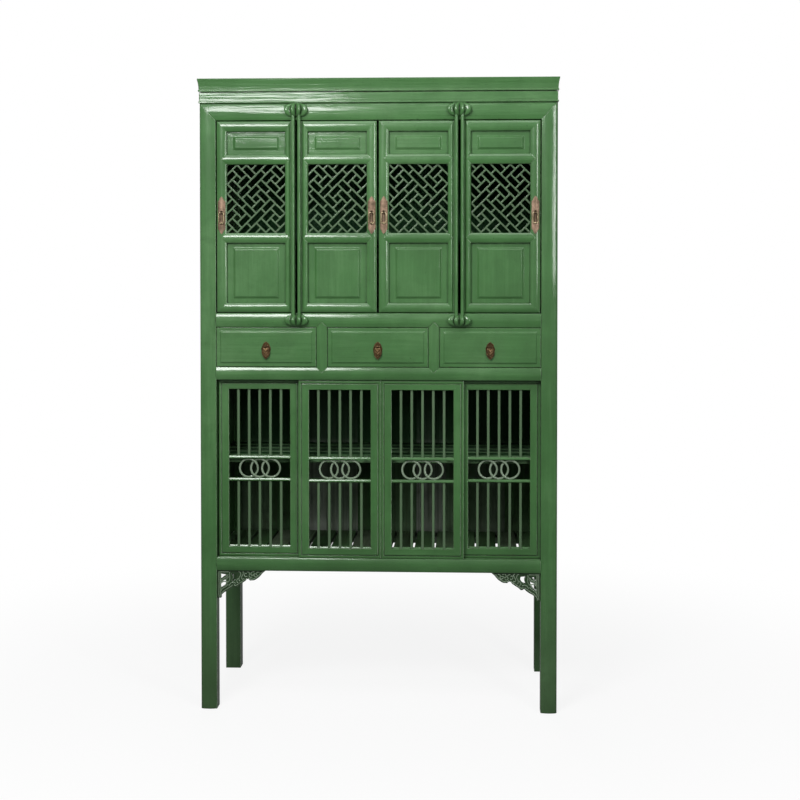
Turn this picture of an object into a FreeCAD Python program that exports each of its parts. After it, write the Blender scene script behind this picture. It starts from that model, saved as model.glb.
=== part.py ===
"""Lacquered lattice cabinet: a post-and-rail case with pivot doors, drawers and sliding grille doors.

Millimetres, +Z up, the front faces -Y, the origin lies on the floor under the middle of the case.
"""
import FreeCAD, Part
import math
import os

V = FreeCAD.Vector

# Case, from the floor up
WIDTH = 1016.0            # over the outer faces of the posts
DEPTH = 470.0             # front of the front posts to back of the rear posts
POST = 46.0               # square section of a post
LEG = 398.0               # floor to the underside of the bottom rail
BOTTOM_RAIL = 38.0
LOWER_OPENING = 509.0
DRAWER_RAIL = 36.0
DRAWER_OPENING = 114.0
DOOR_RAIL = 40.0
DOOR_OPENING = 547.0
TOP_RAIL = 49.0
CAP = 69.0                # bead, band and crown above the top rail
CROWN = 4.0               # rise of the rounded faces of posts and rails
CORNER = 8.0              # rounded outer corner of a front post

# Joinery
RAIL_DEPTH = 44.0         # front rails, front to back
SIDE_RAIL = 28.0          # thickness of the side rails
SIDE_SET = 2.0            # side rail face behind the post face
REAR_RAIL = 26.0
REAR_SET = 6.0
TENON = 14.0              # length of a tenon
TENON_THICK = 12.0
SHOULDER = 7.0            # rail edge to tenon edge
GROOVE = 6.0              # depth of a panel groove
GROOVE_PLAY = 0.3         # panel edge to the bottom of its groove

# Panels, boards and slats
SIDE_PANEL = 10.0
SIDE_PANEL_SET = 16.0     # panel face behind the post face
PLANK = 10.0
PLANK_SET = 14.0          # plank back in front of the post back
PLANKS = 10
PLANK_GAP = 0.2
BOARD = 14.0              # floors and shelf
SHELF_UP = 210.0          # top of the cupboard shelf above its floor
SHELF_BACK_OFF = 10.0     # shelf edge behind the closed doors
BEARER = 18.0             # square section of bearers and guides
FLOOR_SLATS = 15
FLOOR_SLAT = 54.0
SLAT_UP = 280.0           # top of the slatted shelf above its floor
SLATS = 5
SLAT_GAP = 20.0
SLAT = 12.0
STOP = 12.0               # height of a door stop
STOP_PLAY = 2.0           # closed door to its stop

# Cap moulding
CAP_WIDTH = 60.0          # width of the frame in plan
CAP_BEAD = 4.4
CAP_BEAD_RISE = 2.0
CAP_BAND = 29.0           # top of the band above the top rail
CAP_GROOVE = 3.0
CAP_GROOVE_DEPTH = 4.0
CAP_FILLET = 5.0          # bead at the foot of the crown
CAP_FILLET_RISE = 1.6
CAP_STEP = 1.0            # crown foot in front of the band
CAP_REACH = 5.0           # crown edge in front of the band
CAP_EDGE = 4.0            # upright edge at the top of the crown
CAP_HOLLOW = 1.0          # hollow of the crown's slope
TOP_SET = 4.0             # top board below the crown edge
TOP_BOARD = 12.0

# Pivot doors
LEAF = 24.0               # door thickness
LEAF_SET = 2.0            # door face behind the post face
LEAF_GAP = 2.5            # above and below a door
MEET_GAP = 3.2            # free edge of a door to the post or to the middle
LEAF_CROWN = 4.0
LOCK_STILE = 28.0
PIVOT_STILE = 16.0        # face of the pivot stile beside its rod
LEAF_TOP = 29.0
LEAF_MID = 28.0
LEAF_BOTTOM = 26.0
SMALL_PANEL = 65.0
LATTICE_HEIGHT = 195.0
LEAF_PANEL = 7.0          # panel edge thickness
LEAF_PANEL_SET = 12.0     # panel edge behind the door face
FIELD_RISE = 4.0
FIELD_BEVEL = 6.0
FIELD_MARGIN = 13.0       # rail to the foot of the bevel
FIELD_SIDE = 18.0         # stile to the foot of the bevel
AXIS_HALF = 8.5           # pair centre to each pivot axis
AXIS_PROUD = 7.5          # pivot axis in front of the post face
ROD = 5.0                 # radius of the rod along the pivot stile
ROD_GAP = 3.0             # rod to the stile face beside it
ROD_PLAY = 0.3            # rod in its socket
ROD_DEPTH = 16.0          # rod inside its block
NECK = 7.0                # web that joins the rod to its stile

# Lotus blocks
LOTUS_WIDTH = 78.0
LOTUS_HEIGHT = 34.0
LOTUS_PROUD = 22.0        # front of a block in front of the post face
LOTUS_SLOPE = 9.0         # depth of the bevels above and below
LOTUS_FLAT = 12.0         # height between the bevels
LOTUS_RISE = 14.0         # top block above the foot of the top rail
LOTUS_DROP = 3.0          # bottom block below the top of the door rail

# Lattice
FRET = 19.4               # strip spacing
STRIP = 4.8
LATTICE = 8.0             # thickness
LATTICE_SET = 9.0         # strips behind the door face
SMALLEST_HOLE = 24.0      # area below which a clipped hole is left solid

# Door pulls
PLATE_WIDTH = 22.0
PLATE_HEIGHT = 108.0
PLATE_END = 10.0          # size of the shaped ends
PLATE_SHEET = 1.6
PLATE_UP = 278.0          # plate centre above the door rail
EYE_UP = 7.0              # eye above the plate centre
EYE = 5.0                 # thickness of an eye lug
EYE_WALL = 1.8            # lug around its hole
EYE_PLAY = 0.4            # pin in its hole
RING_WIDTH = 17.0         # outside of the hanging loop
RING_HEIGHT = 33.0
RING_WIRE = 1.6           # half the thickness of the loop
RING_CUT = 6.0            # cut corners of the loop
PULL_OUT = 6.8            # pull axis in front of the door face

# Drawers
DIVIDER = 31.0
DRAWER_PLAY = 1.5
DRAWER_SET = 4.0          # border of the front behind the post face
DRAWER_FRONT = 20.0
DRAWER_FIELD_RISE = 3.0
DRAWER_MARGIN = 10.0
DRAWER_BEVEL = 3.5
DRAWER_SIDE = 10.0
DRAWER_SIDE_HEIGHT = 88.0
DRAWER_LENGTH = 375.0
DRAWER_BOTTOM = 6.0
DRAWER_BOTTOM_UP = 8.0    # drawer bottom above the lower edge of the sides
DRAWER_REST = 0.3
HOUSING = 6.0             # sides let into the front
LEAF_PLATE_WIDTH = 27.0
LEAF_PLATE_HEIGHT = 50.0
LEAF_PLATE_DROP = 8.0     # plate centre below the drawer centre
DROP_EYE_UP = 10.0        # eye above the plate centre
DROP_WIDTH = 24.0
DROP_HEIGHT = 36.0
DROP_THICK = 3.0
DROP_ARM = 3.0
DROP_ARM_PLAY = 1.0
DROP_WIRE = 1.5
DROP_OUT = 5.4            # drop axis in front of the drawer field

# Sliding doors
SLIDE = 16.0              # thickness
SLIDE_SET = 6.0           # front doors behind the post face
SLIDE_STEP = 19.0         # front track to rear track
SLIDE_OVERLAP = 8.0
SLIDE_END = 0.6
SLIDE_MEET = 0.6          # half of the gap at the middle
SLIDE_STANDS = (3.0, 9.0, 9.0, 0.0)  # doors 1 to 4 stand this far to the right of their closed places
SLIDE_STILE = 29.0
SLIDE_TOP = 25.0
SLIDE_BOTTOM = 27.0
SLIDE_MID = 8.0
SLIDE_HEAD = 3.0
SLIDE_FOOT = 0.8
SLIDE_BORDER = 9.0        # lowered outer border of the frame
SLIDE_BORDER_DEPTH = 1.5
SLIDE_GROOVE = 2.4        # width of the groove inside the border
SLIDE_GROOVE_DEPTH = 2.0  # below the border
TONGUE = 8.0              # thickness
TONGUE_TOP = 10.0
TONGUE_BOTTOM = 6.0
TRACK_PLAY = 0.5
TRACK_TOP = 14.0          # depth of the upper grooves
TRACK_REST = 0.3          # tongue to the bottom of the lower groove
BARS = 5
BAR = 7.6
BAR_THICK = 8.0
BAR_SET = 4.0
BAR_TENON = 3.0
RINGS_UP = 253.0          # centre of the ring row above the bottom rail
RINGS_ROOM = 56.0         # between the middle rails
RING_BAND = 6.0
RING_PITCH = 32.0
RING_SEAT = 1.0           # flat of a ring against a middle rail

# Spandrels
SPANDREL_REACH = 140.0    # along the bottom rail
SPANDREL_DROP = 80.0      # along the leg
SPANDREL = 14.0           # thickness
SPANDREL_SET = 10.0       # behind the post face

# Levels and planes that follow
Z_BOTTOM = LEG
Z_FLOOR = Z_BOTTOM + BOTTOM_RAIL
Z_DRAWER_RAIL = Z_FLOOR + LOWER_OPENING
Z_DRAWER = Z_DRAWER_RAIL + DRAWER_RAIL
Z_DOOR_RAIL = Z_DRAWER + DRAWER_OPENING
Z_DOOR = Z_DOOR_RAIL + DOOR_RAIL
Z_TOP_RAIL = Z_DOOR + DOOR_OPENING
Z_CAP = Z_TOP_RAIL + TOP_RAIL
Z_TOP = Z_CAP + CAP
X_OUT = WIDTH / 2
X_IN = X_OUT - POST
X_PAIR = X_IN / 2
FRONT = -(DEPTH - LOTUS_PROUD) / 2
BACK = FRONT + DEPTH
RAIL_BACK = FRONT + RAIL_DEPTH
REAR_FACE = BACK - REAR_SET - REAR_RAIL
PLANK_FACE = BACK - PLANK_SET - PLANK
SIDE_OUT = X_OUT - SIDE_SET
SIDE_IN = SIDE_OUT - SIDE_RAIL
PANEL_OUT = X_OUT - SIDE_PANEL_SET
PANEL_IN = PANEL_OUT - SIDE_PANEL
POSTS_Y = (FRONT + POST, BACK - POST)
BOTTOM_LEVEL = (Z_BOTTOM, Z_FLOOR)
DRAWER_LEVEL = (Z_DRAWER_RAIL, Z_DRAWER)
DOOR_LEVEL = (Z_DOOR_RAIL, Z_DOOR)
TOP_LEVEL = (Z_TOP_RAIL, Z_CAP)
LEVELS = (BOTTOM_LEVEL, DRAWER_LEVEL, DOOR_LEVEL, TOP_LEVEL)
DRAWER_WIDTH = (2 * X_IN - 2 * DIVIDER) / 3
DIVIDER_X = DRAWER_WIDTH / 2 + DIVIDER / 2
DRAWER_PITCH = DRAWER_WIDTH + DIVIDER
AXIS_Y = FRONT - AXIS_PROUD
LEAF_FACE = FRONT + LEAF_SET
LEAF_BACK = LEAF_FACE + LEAF
LEAF_REACH = X_PAIR - AXIS_HALF - MEET_GAP
LEAF_Z = (Z_DOOR + LEAF_GAP, Z_TOP_RAIL - LEAF_GAP)
FACE_X = ROD + ROD_GAP
OPEN_X = (FACE_X + PIVOT_STILE, LEAF_REACH - LOCK_STILE)
SMALL_Z = (LEAF_Z[1] - LEAF_TOP - SMALL_PANEL, LEAF_Z[1] - LEAF_TOP)
LATTICE_Z = (SMALL_Z[0] - LEAF_MID - LATTICE_HEIGHT, SMALL_Z[0] - LEAF_MID)
SQUARE_Z = (LEAF_Z[0] + LEAF_BOTTOM, LATTICE_Z[0] - LEAF_MID)
LOCK_X = LEAF_REACH - LOCK_STILE / 2
SLIDE_WIDTH = (X_IN - SLIDE_END - SLIDE_MEET + SLIDE_OVERLAP) / 2
SLIDE_Z = (Z_FLOOR + SLIDE_FOOT, Z_DRAWER_RAIL - SLIDE_HEAD)
TRACK_BOTTOM = TONGUE_BOTTOM - SLIDE_FOOT + TRACK_REST
RING_OUT = RINGS_ROOM / 2 + RING_SEAT
RINGS_Z = Z_FLOOR + RINGS_UP
SHELF_Z = Z_DOOR + SHELF_UP
SLAT_Z = Z_FLOOR + SLAT_UP
PLATE_Z = Z_DOOR + PLATE_UP
EYE_Z = PLATE_Z + EYE_UP


def block(x, y, z):
    """Box over three (low, high) spans."""
    return Part.makeBox(x[1] - x[0], y[1] - y[0], z[1] - z[0], V(x[0], y[0], z[0]))


def around(centre, width):
    """Span of a width about its centre."""
    return (centre - width / 2, centre + width / 2)


def rod(base, direction, radius, length):
    """Round bar from a base point."""
    return Part.makeCylinder(radius, length, V(*base), V(*direction))


def closed_wire(path, place):
    """Closed outline; an entry ("via", a, b) bends the edge between its neighbours into an arc."""
    edges = []
    start = place(*path[0])
    via = None
    for item in path[1:] + path[:1]:
        if item[0] == "via":
            via = place(*item[1:])
            continue
        end = place(*item)
        if via is None:
            edges.append(Part.makeLine(start, end))
        else:
            edges.append(Part.Arc(start, via, end).toShape())
        start = end
        via = None
    return Part.Wire(edges)


def front_prism(path, y):
    """Outline in X and Z, pushed through a depth."""
    face = Part.Face(closed_wire(path, lambda a, b: V(a, y[0], b)))
    return face.extrude(V(0, y[1] - y[0], 0))


def plan_prism(path, z):
    """Outline in X and Y, pushed through a height."""
    face = Part.Face(closed_wire(path, lambda a, b: V(a, b, z[0])))
    return face.extrude(V(0, 0, z[1] - z[0]))


def side_prism(path, x):
    """Outline in Y and Z, pushed along X."""
    face = Part.Face(closed_wire(path, lambda a, b: V(x[0], a, b)))
    return face.extrude(V(x[1] - x[0], 0, 0))


def joined(first, *others):
    """One solid from pieces that meet."""
    return first.fuse(list(others)).removeSplitter().Solids[0]


def trimmed(solid, cutters):
    """The largest piece left after the cutters are taken away."""
    left = solid.cut(list(cutters))
    return max(left.Solids, key=lambda s: s.Volume)


def flipped(shape):
    """Mirror image across the middle of the case."""
    return shape.mirror(V(0, 0, 0), V(1, 0, 0))


def both_sides(shape):
    """A piece and its mirror image."""
    return [shape, flipped(shape)]


def moved(shape, x, y, z):
    """Copy at an offset."""
    copy = shape.copy()
    copy.translate(V(x, y, z))
    return copy


def rail_bar(x, y, z, rise):
    """Bar along X with a rounded front face."""
    middle = (z[0] + z[1]) / 2
    edge = y[0] + rise
    return side_prism([(y[1], z[0]), (y[1], z[1]), (edge, z[1]), ("via", y[0], middle), (edge, z[0])], x)


def stile_bar(x, y, z, rise):
    """Bar along Z with a rounded front face."""
    middle = (x[0] + x[1]) / 2
    edge = y[0] + rise
    return plan_prism([(x[0], y[1]), (x[0], edge), ("via", middle, y[0]), (x[1], edge), (x[1], y[1])], z)


def drawn_in(span, inset):
    """Span shortened at both ends."""
    return (span[0] + inset, span[1] - inset)


def raised_panel(x, z, back, thick, rise, margins, bevel, edge):
    """Panel with a raised field; margins lie beside and above it, edge is how far it runs into the frame."""
    face = back - thick
    side, end = margins
    plate = block(drawn_in(x, -edge), (face, back), drawn_in(z, -edge))
    foot = front_rectangle(drawn_in(x, side), drawn_in(z, end), face)
    top = front_rectangle(drawn_in(x, side + bevel), drawn_in(z, end + bevel), face - rise)
    return joined(plate, Part.makeLoft([foot, top], True, True))


def front_rectangle(x, z, y):
    """Rectangular outline in X and Z at a depth."""
    return closed_wire([(x[0], z[0]), (x[1], z[0]), (x[1], z[1]), (x[0], z[1])], lambda a, b: V(a, y, b))


def rail_tenons(y_centre, level):
    """The two end tenons of a rail between the posts."""
    y = around(y_centre, TENON_THICK)
    z = (level[0] + SHOULDER, level[1] - SHOULDER)
    return both_sides(block((X_IN, X_IN + TENON), y, z))


def front_tenons(level):
    """End tenons of a front rail."""
    return rail_tenons(FRONT + RAIL_DEPTH / 2, level)


def rear_tenons(level):
    """End tenons of a rear rail."""
    return rail_tenons(REAR_FACE + REAR_RAIL / 2, level)


def side_tenons(level):
    """The two end tenons of the right side rail."""
    x = around(SIDE_IN + SIDE_RAIL / 2, TENON_THICK)
    z = (level[0] + SHOULDER, level[1] - SHOULDER)
    front = block(x, (POSTS_Y[0] - TENON, POSTS_Y[0]), z)
    rear = block(x, (POSTS_Y[1], POSTS_Y[1] + TENON), z)
    return [front, rear]


def side_panel(low, high):
    """Right side panel between two levels, seated in its grooves."""
    edge = GROOVE - GROOVE_PLAY
    y = (POSTS_Y[0] - edge, POSTS_Y[1] + edge)
    return block((PANEL_IN, PANEL_OUT), y, (low[1] - edge, high[0] + edge))


def side_groove(low, high):
    """Groove room of a right side panel."""
    y = (POSTS_Y[0] - GROOVE, POSTS_Y[1] + GROOVE)
    return block((PANEL_IN, PANEL_OUT), y, (low[1] - GROOVE, high[0] + GROOVE))


def side_bays():
    """Pairs of levels with a side panel between them."""
    return list(zip(LEVELS[:-1], LEVELS[1:]))


def top_mitre():
    """Front outline of the mitred top rail."""
    return [(-X_OUT, Z_CAP), (X_OUT, Z_CAP), (X_IN, Z_TOP_RAIL), (-X_IN, Z_TOP_RAIL)]


def long_edges(bar, x, y):
    """Upright edges of a post at one corner."""
    near = V(x, y, 0)
    return [e for e in bar.Edges
            if e.Length > LEG and near.distanceToPoint(V(e.Vertexes[0].X, e.Vertexes[0].Y, 0)) < 1]


def front_post():
    """Right front post: rounded face and outer corner, mortises, panel grooves, mitred head."""
    bar = stile_bar((X_IN, X_OUT), (FRONT, FRONT + POST), (0, Z_CAP), CROWN)
    bar = bar.makeFillet(CORNER, long_edges(bar, X_OUT, FRONT + CROWN))
    cutters = [front_prism(top_mitre(), (FRONT - 1, FRONT + POST + 1))]
    for level in LEVELS:
        cutters += side_tenons(level)
    for level in LEVELS[:-1]:
        cutters += front_tenons(level)
    cutters += [side_groove(low, high) for low, high in side_bays()]
    return trimmed(bar, cutters)


def rear_post():
    """Right rear post with its mortises and panel grooves."""
    bar = block((X_IN, X_OUT), (BACK - POST, BACK), (0, Z_CAP))
    bar = bar.makeFillet(CORNER, long_edges(bar, X_OUT, BACK))
    cutters = []
    for level in LEVELS:
        cutters += side_tenons(level)
    for level in rear_levels():
        cutters += rear_tenons(level)
    cutters += [side_groove(low, high) for low, high in side_bays()]
    return trimmed(bar, cutters)


def rear_levels():
    """Levels that carry a rear rail."""
    return (BOTTOM_LEVEL, DOOR_LEVEL, TOP_LEVEL)


def top_rail():
    """Top rail, mitred with the front posts and cut for the side tenons."""
    bar = rail_bar((-X_OUT, X_OUT), (FRONT, FRONT + POST), TOP_LEVEL, CROWN)
    bar = bar.common(front_prism(top_mitre(), (FRONT - 1, FRONT + POST + 1)))
    tenons = side_tenons(TOP_LEVEL)
    return trimmed(bar, tenons + [flipped(tenon) for tenon in tenons])


def divider(centre):
    """Drawer divider with pointed shoulders let into the rails above and below."""
    x = around(centre, DIVIDER)
    tip = DIVIDER / 2
    bar = stile_bar(x, (FRONT, RAIL_BACK), (Z_DRAWER - tip, Z_DOOR_RAIL + tip), CROWN)
    outline = [(x[0], Z_DRAWER), (centre, Z_DRAWER - tip), (x[1], Z_DRAWER),
               (x[1], Z_DOOR_RAIL), (centre, Z_DOOR_RAIL + tip), (x[0], Z_DOOR_RAIL)]
    bar = bar.common(front_prism(outline, (FRONT - 1, RAIL_BACK + 1)))
    return trimmed(bar, [cupboard_floor(), dust_board()])


def track(y_centre, z):
    """Groove room for the tongues of one pair of sliding doors."""
    return block((-X_IN, X_IN), around(y_centre, TONGUE + 2 * TRACK_PLAY), z)


def tracks_y():
    """Middle planes of the front and rear sliding doors."""
    front = FRONT + SLIDE_SET + SLIDE / 2
    return (front, front + SLIDE_STEP)


def front_rail(level, cutters):
    """Front rail with tenons, cut for what is let into it."""
    bar = rail_bar((-X_IN, X_IN), (FRONT, RAIL_BACK), level, CROWN)
    return trimmed(joined(bar, *front_tenons(level)), cutters)


def door_rail():
    """Rail under the pivot doors."""
    return front_rail(DOOR_LEVEL, dividers() + [cupboard_floor()])


def drawer_rail():
    """Rail under the drawers, grooved below for the sliding doors."""
    z = (Z_DRAWER_RAIL, Z_DRAWER_RAIL + TRACK_TOP)
    return front_rail(DRAWER_LEVEL, dividers() + [dust_board()] + [track(y, z) for y in tracks_y()])


def bottom_rail():
    """Bottom rail, grooved above for the sliding doors."""
    z = (Z_FLOOR - TRACK_BOTTOM, Z_FLOOR)
    return front_rail(BOTTOM_LEVEL, [track(y, z) for y in tracks_y()])


def dividers():
    """Both drawer dividers."""
    return [divider(-DIVIDER_X), divider(DIVIDER_X)]


def side_rail(level):
    """Right side rail with a rounded outer face, tenons and panel grooves."""
    middle = (level[0] + level[1]) / 2
    edge = SIDE_OUT - CROWN
    path = [(SIDE_IN, level[0]), (SIDE_IN, level[1]), (edge, level[1]), ("via", SIDE_OUT, middle),
            (edge, level[0])]
    bar = joined(front_prism(path, POSTS_Y), *side_tenons(level))
    return trimmed(bar, [side_groove(low, high) for low, high in side_bays()])


def rear_rail(level):
    """Rear rail with tenons, grooved for the planks and the board let into it."""
    bar = block((-X_IN, X_IN), (REAR_FACE, REAR_FACE + REAR_RAIL), level)
    grooves = [block((-X_IN, X_IN), (PLANK_FACE, PLANK_FACE + PLANK), (low - GROOVE, high + GROOVE))
               for low, high in plank_bays()]
    return trimmed(joined(bar, *rear_tenons(level)), grooves + [cupboard_floor()])


def plank_bays():
    """Heights of the back that are closed with planks."""
    return ((Z_FLOOR, Z_DOOR_RAIL), (Z_DOOR, Z_TOP_RAIL))


def back_planks():
    """Upright planks between the rear rails."""
    pitch = 2 * X_IN / PLANKS
    edge = GROOVE - GROOVE_PLAY
    planks = []
    for low, high in plank_bays():
        for i in range(PLANKS):
            x = around(-X_IN + (i + 0.5) * pitch, pitch - PLANK_GAP)
            planks.append(block(x, (PLANK_FACE, PLANK_FACE + PLANK), (low - edge, high + edge)))
    return planks


def cap_profile():
    """Cap moulding as distance outward from the post face and height."""
    bead = CAP_BEAD
    groove = CAP_BAND + CAP_GROOVE
    fillet = groove + CAP_FILLET
    edge = CAP - CAP_EDGE
    slope = ((CAP_STEP + CAP_REACH) / 2 - CAP_HOLLOW, (fillet + edge) / 2)
    lip = CAP_STEP + CAP_FILLET_RISE
    return [(-CAP_WIDTH, 0), (CAP_BEAD_RISE, 0), (CAP_BEAD_RISE, bead), (0, bead), (0, CAP_BAND),
            (-CAP_GROOVE_DEPTH, CAP_BAND), (-CAP_GROOVE_DEPTH, groove), (lip, groove), (lip, fillet),
            (CAP_STEP, fillet), ("via", *slope), (CAP_REACH, edge), (CAP_REACH, CAP), (-CAP_WIDTH, CAP)]


def cap():
    """Cap mouldings mitred at the front corners and a plain back piece, grooved for the top board."""
    profile = cap_profile()
    out_x = X_OUT + CAP_REACH
    out_y = FRONT - CAP_REACH
    in_x = X_OUT - CAP_WIDTH
    in_y = FRONT + CAP_WIDTH
    z = (Z_CAP, Z_TOP)
    front = Part.Face(closed_wire(profile, lambda o, h: V(-out_x, FRONT - o, Z_CAP + h)))
    front = front.extrude(V(2 * out_x, 0, 0))
    front = front.common(plan_prism([(-out_x, out_y), (out_x, out_y), (in_x, in_y), (-in_x, in_y)], z))
    right = Part.Face(closed_wire(profile, lambda o, h: V(X_OUT + o, out_y, Z_CAP + h)))
    right = right.extrude(V(0, BACK - out_y, 0))
    right = right.common(plan_prism([(out_x, out_y), (out_x, BACK), (in_x, BACK), (in_x, in_y)], z))
    rear = block((-in_x, in_x), (BACK - CAP_WIDTH, BACK), z)
    return [trimmed(piece, [top_groove()]) for piece in [front, right, flipped(right), rear]]


def top_room(edge):
    """Top board, or its groove room, with an edge run into the cap."""
    x = X_OUT - CAP_WIDTH + edge
    y = (FRONT + CAP_WIDTH - edge, BACK - CAP_WIDTH + edge)
    return block((-x, x), y, (Z_TOP - TOP_SET - TOP_BOARD, Z_TOP - TOP_SET))


def top_groove():
    """Groove room of the top board."""
    return top_room(GROOVE)


def top_board():
    """Floating top board."""
    return top_room(GROOVE - GROOVE_PLAY)


def post_room():
    """The four posts as plain bars, for boards notched around them."""
    front = block((X_IN, X_OUT), (FRONT, FRONT + POST), (0, Z_CAP))
    rear = block((X_IN, X_OUT), (BACK - POST, BACK), (0, Z_CAP))
    return both_sides(front) + both_sides(rear)


def cupboard_floor():
    """Floor of the upper cupboard, tongued into the door rail and the rear rail."""
    board = block((-SIDE_IN, SIDE_IN), (RAIL_BACK - GROOVE, REAR_FACE + GROOVE), (Z_DOOR - BOARD, Z_DOOR))
    return trimmed(board, post_room())


def dust_board():
    """Board the drawers run on."""
    board = block((-SIDE_IN, SIDE_IN), (RAIL_BACK - GROOVE, PLANK_FACE), (Z_DRAWER - BOARD, Z_DRAWER))
    return trimmed(board, post_room())


def cupboard_shelf():
    """Shelf behind the pivot doors, notched around the posts."""
    y = (LEAF_BACK + SHELF_BACK_OFF, PLANK_FACE)
    board = block((-PANEL_IN, PANEL_IN), y, (SHELF_Z - BOARD, SHELF_Z))
    return trimmed(board, post_room())


def inner_battens():
    """Bearers, drawer guides and kickers, and the door stops."""
    battens = []
    for top in (SHELF_Z - BOARD, SLAT_Z - SLAT):
        battens += both_sides(block((PANEL_IN - BEARER, PANEL_IN), POSTS_Y, (top - BEARER, top)))
    for y in ((RAIL_BACK, RAIL_BACK + BEARER), (REAR_FACE - BEARER, REAR_FACE)):
        battens.append(block((-X_IN, X_IN), y, (Z_FLOOR - BOARD - BEARER, Z_FLOOR - BOARD)))
    under = (Z_DRAWER - BOARD - BEARER, Z_DRAWER - BOARD)
    battens.append(block((-X_IN, X_IN), (PLANK_FACE - BEARER, PLANK_FACE), under))
    run = (RAIL_BACK, PLANK_FACE)
    guide = (Z_DRAWER, Z_DRAWER + BEARER)
    kicker = (Z_DOOR_RAIL, Z_DOOR - BOARD)
    battens += both_sides(block((X_IN, PANEL_IN), POSTS_Y, guide))
    for centre in (-DIVIDER_X, DIVIDER_X):
        battens.append(block(around(centre, DIVIDER), run, guide))
        battens.append(block(around(centre, DIVIDER + 2 * BEARER), (RAIL_BACK, REAR_FACE), kicker))
    stop_y = (LEAF_BACK + STOP_PLAY, RAIL_BACK)
    for low in (Z_DOOR, Z_TOP_RAIL - STOP):
        battens.append(block((-X_IN, X_IN), stop_y, (low, low + STOP)))
    return battens


def slatted_shelf():
    """Shelf of slats from side to side with a batten under their middle."""
    room = POSTS_Y[1] - POSTS_Y[0]
    wide = (room - (SLATS - 1) * SLAT_GAP) / SLATS
    slats = []
    for i in range(SLATS):
        low = POSTS_Y[0] + i * (wide + SLAT_GAP)
        slats.append(block((-PANEL_IN, PANEL_IN), (low, low + wide), (SLAT_Z - SLAT, SLAT_Z)))
    slats.append(block(around(0, BEARER), POSTS_Y, (SLAT_Z - SLAT - BEARER, SLAT_Z - SLAT)))
    return slats


def floor_slats():
    """Slats from front to back that floor the lower cupboard."""
    pitch = (2 * X_IN - FLOOR_SLAT) / (FLOOR_SLATS - 1)
    slats = []
    for i in range(FLOOR_SLATS):
        x = around(-X_IN + FLOOR_SLAT / 2 + i * pitch, FLOOR_SLAT)
        slats.append(block(x, (RAIL_BACK, REAR_FACE), (Z_FLOOR - BOARD, Z_FLOOR)))
    return slats


def lotus_outline():
    """Outline of a lotus block, standing on its entry edge."""
    w = LOTUS_WIDTH / 2
    h = LOTUS_HEIGHT
    right = [(0.45 * w, h), ("via", 0.88 * w, 0.82 * h), (w, 0.4 * h), (0.75 * w, 0)]
    return right + mirrored_path(right)


def lotus_block():
    """Lotus block on its own: bevelled front, entry face at height 0, sockets for a pair of rods."""
    depth = (FRONT - LOTUS_PROUD, FRONT + CROWN)
    bevel = depth[0] + LOTUS_SLOPE
    flat = around(LOTUS_HEIGHT / 2, LOTUS_FLAT)
    section = [(depth[1], 0), (depth[1], LOTUS_HEIGHT), (bevel, LOTUS_HEIGHT), (depth[0], flat[1]),
               (depth[0], flat[0]), (bevel, 0)]
    body = side_prism(section, around(0, LOTUS_WIDTH)).common(front_prism(lotus_outline(), depth))
    sockets = [rod((x, AXIS_Y, 0), (0, 0, 1), ROD + ROD_PLAY, ROD_DEPTH + ROD_PLAY)
               for x in (-AXIS_HALF, AXIS_HALF)]
    return trimmed(body, sockets)


def lotus_blocks():
    """Two blocks on the top rail and two turned over on the door rail, scribed to the rails."""
    block_up = lotus_block()
    block_down = block_up.mirror(V(0, 0, 0), V(0, 0, 1))
    top = trimmed(moved(block_up, X_PAIR, 0, Z_TOP_RAIL + LOTUS_RISE), [top_rail()])
    plain = rail_bar((-X_IN, X_IN), (FRONT, RAIL_BACK), DOOR_LEVEL, CROWN)
    low = trimmed(moved(block_down, X_PAIR, 0, Z_DOOR - LOTUS_DROP), [plain])
    return both_sides(top) + both_sides(low)


def spandrel():
    """Right openwork spandrel: stepped cloud edge below, pierced scrolls between the strips."""
    def place(a, b):
        return V(X_IN - a * SPANDREL_REACH, FRONT + SPANDREL_SET, Z_BOTTOM - b * SPANDREL_DROP)
    edge = [(0, 0), (1, 0), (0.93, 0.11), ("via", 0.865, 0.24), (0.76, 0.36), (0.67, 0.37),
            ("via", 0.63, 0.315), (0.585, 0.38), (0.43, 0.56), ("via", 0.38, 0.615), (0.335, 0.565),
            ("via", 0.29, 0.645), (0.19, 0.755), ("via", 0.12, 0.84), (0.08, 0.92), (0.08, 1), (0, 1)]
    holes = [[(0.06, 0.12), (0.2, 0.17), ("via", 0.13, 0.24), (0.06, 0.34)],
             [(0.06, 0.44), (0.21, 0.31), ("via", 0.19, 0.45), (0.06, 0.64)],
             [(0.28, 0.12), (0.4, 0.14), ("via", 0.4, 0.29), (0.29, 0.38), ("via", 0.33, 0.24)]]
    run = V(0, SPANDREL, 0)
    body = Part.Face(closed_wire(edge, place)).extrude(run)
    return trimmed(body, [Part.Face(closed_wire(hole, place)).extrude(run) for hole in holes])


def leaf_opening(z, edge):
    """Room of a door opening with an edge into its frame."""
    return drawn_in(OPEN_X, -edge), drawn_in(z, -edge)


def leaf_mid_outline(z):
    """Middle rail of a door with pointed ends."""
    middle = (z[0] + z[1]) / 2
    tip = (z[1] - z[0]) / 2
    return [(OPEN_X[0], z[0]), (OPEN_X[1], z[0]), (OPEN_X[1] + tip, middle), (OPEN_X[1], z[1]),
            (OPEN_X[0], z[1]), (OPEN_X[0] - tip, middle)]


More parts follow.
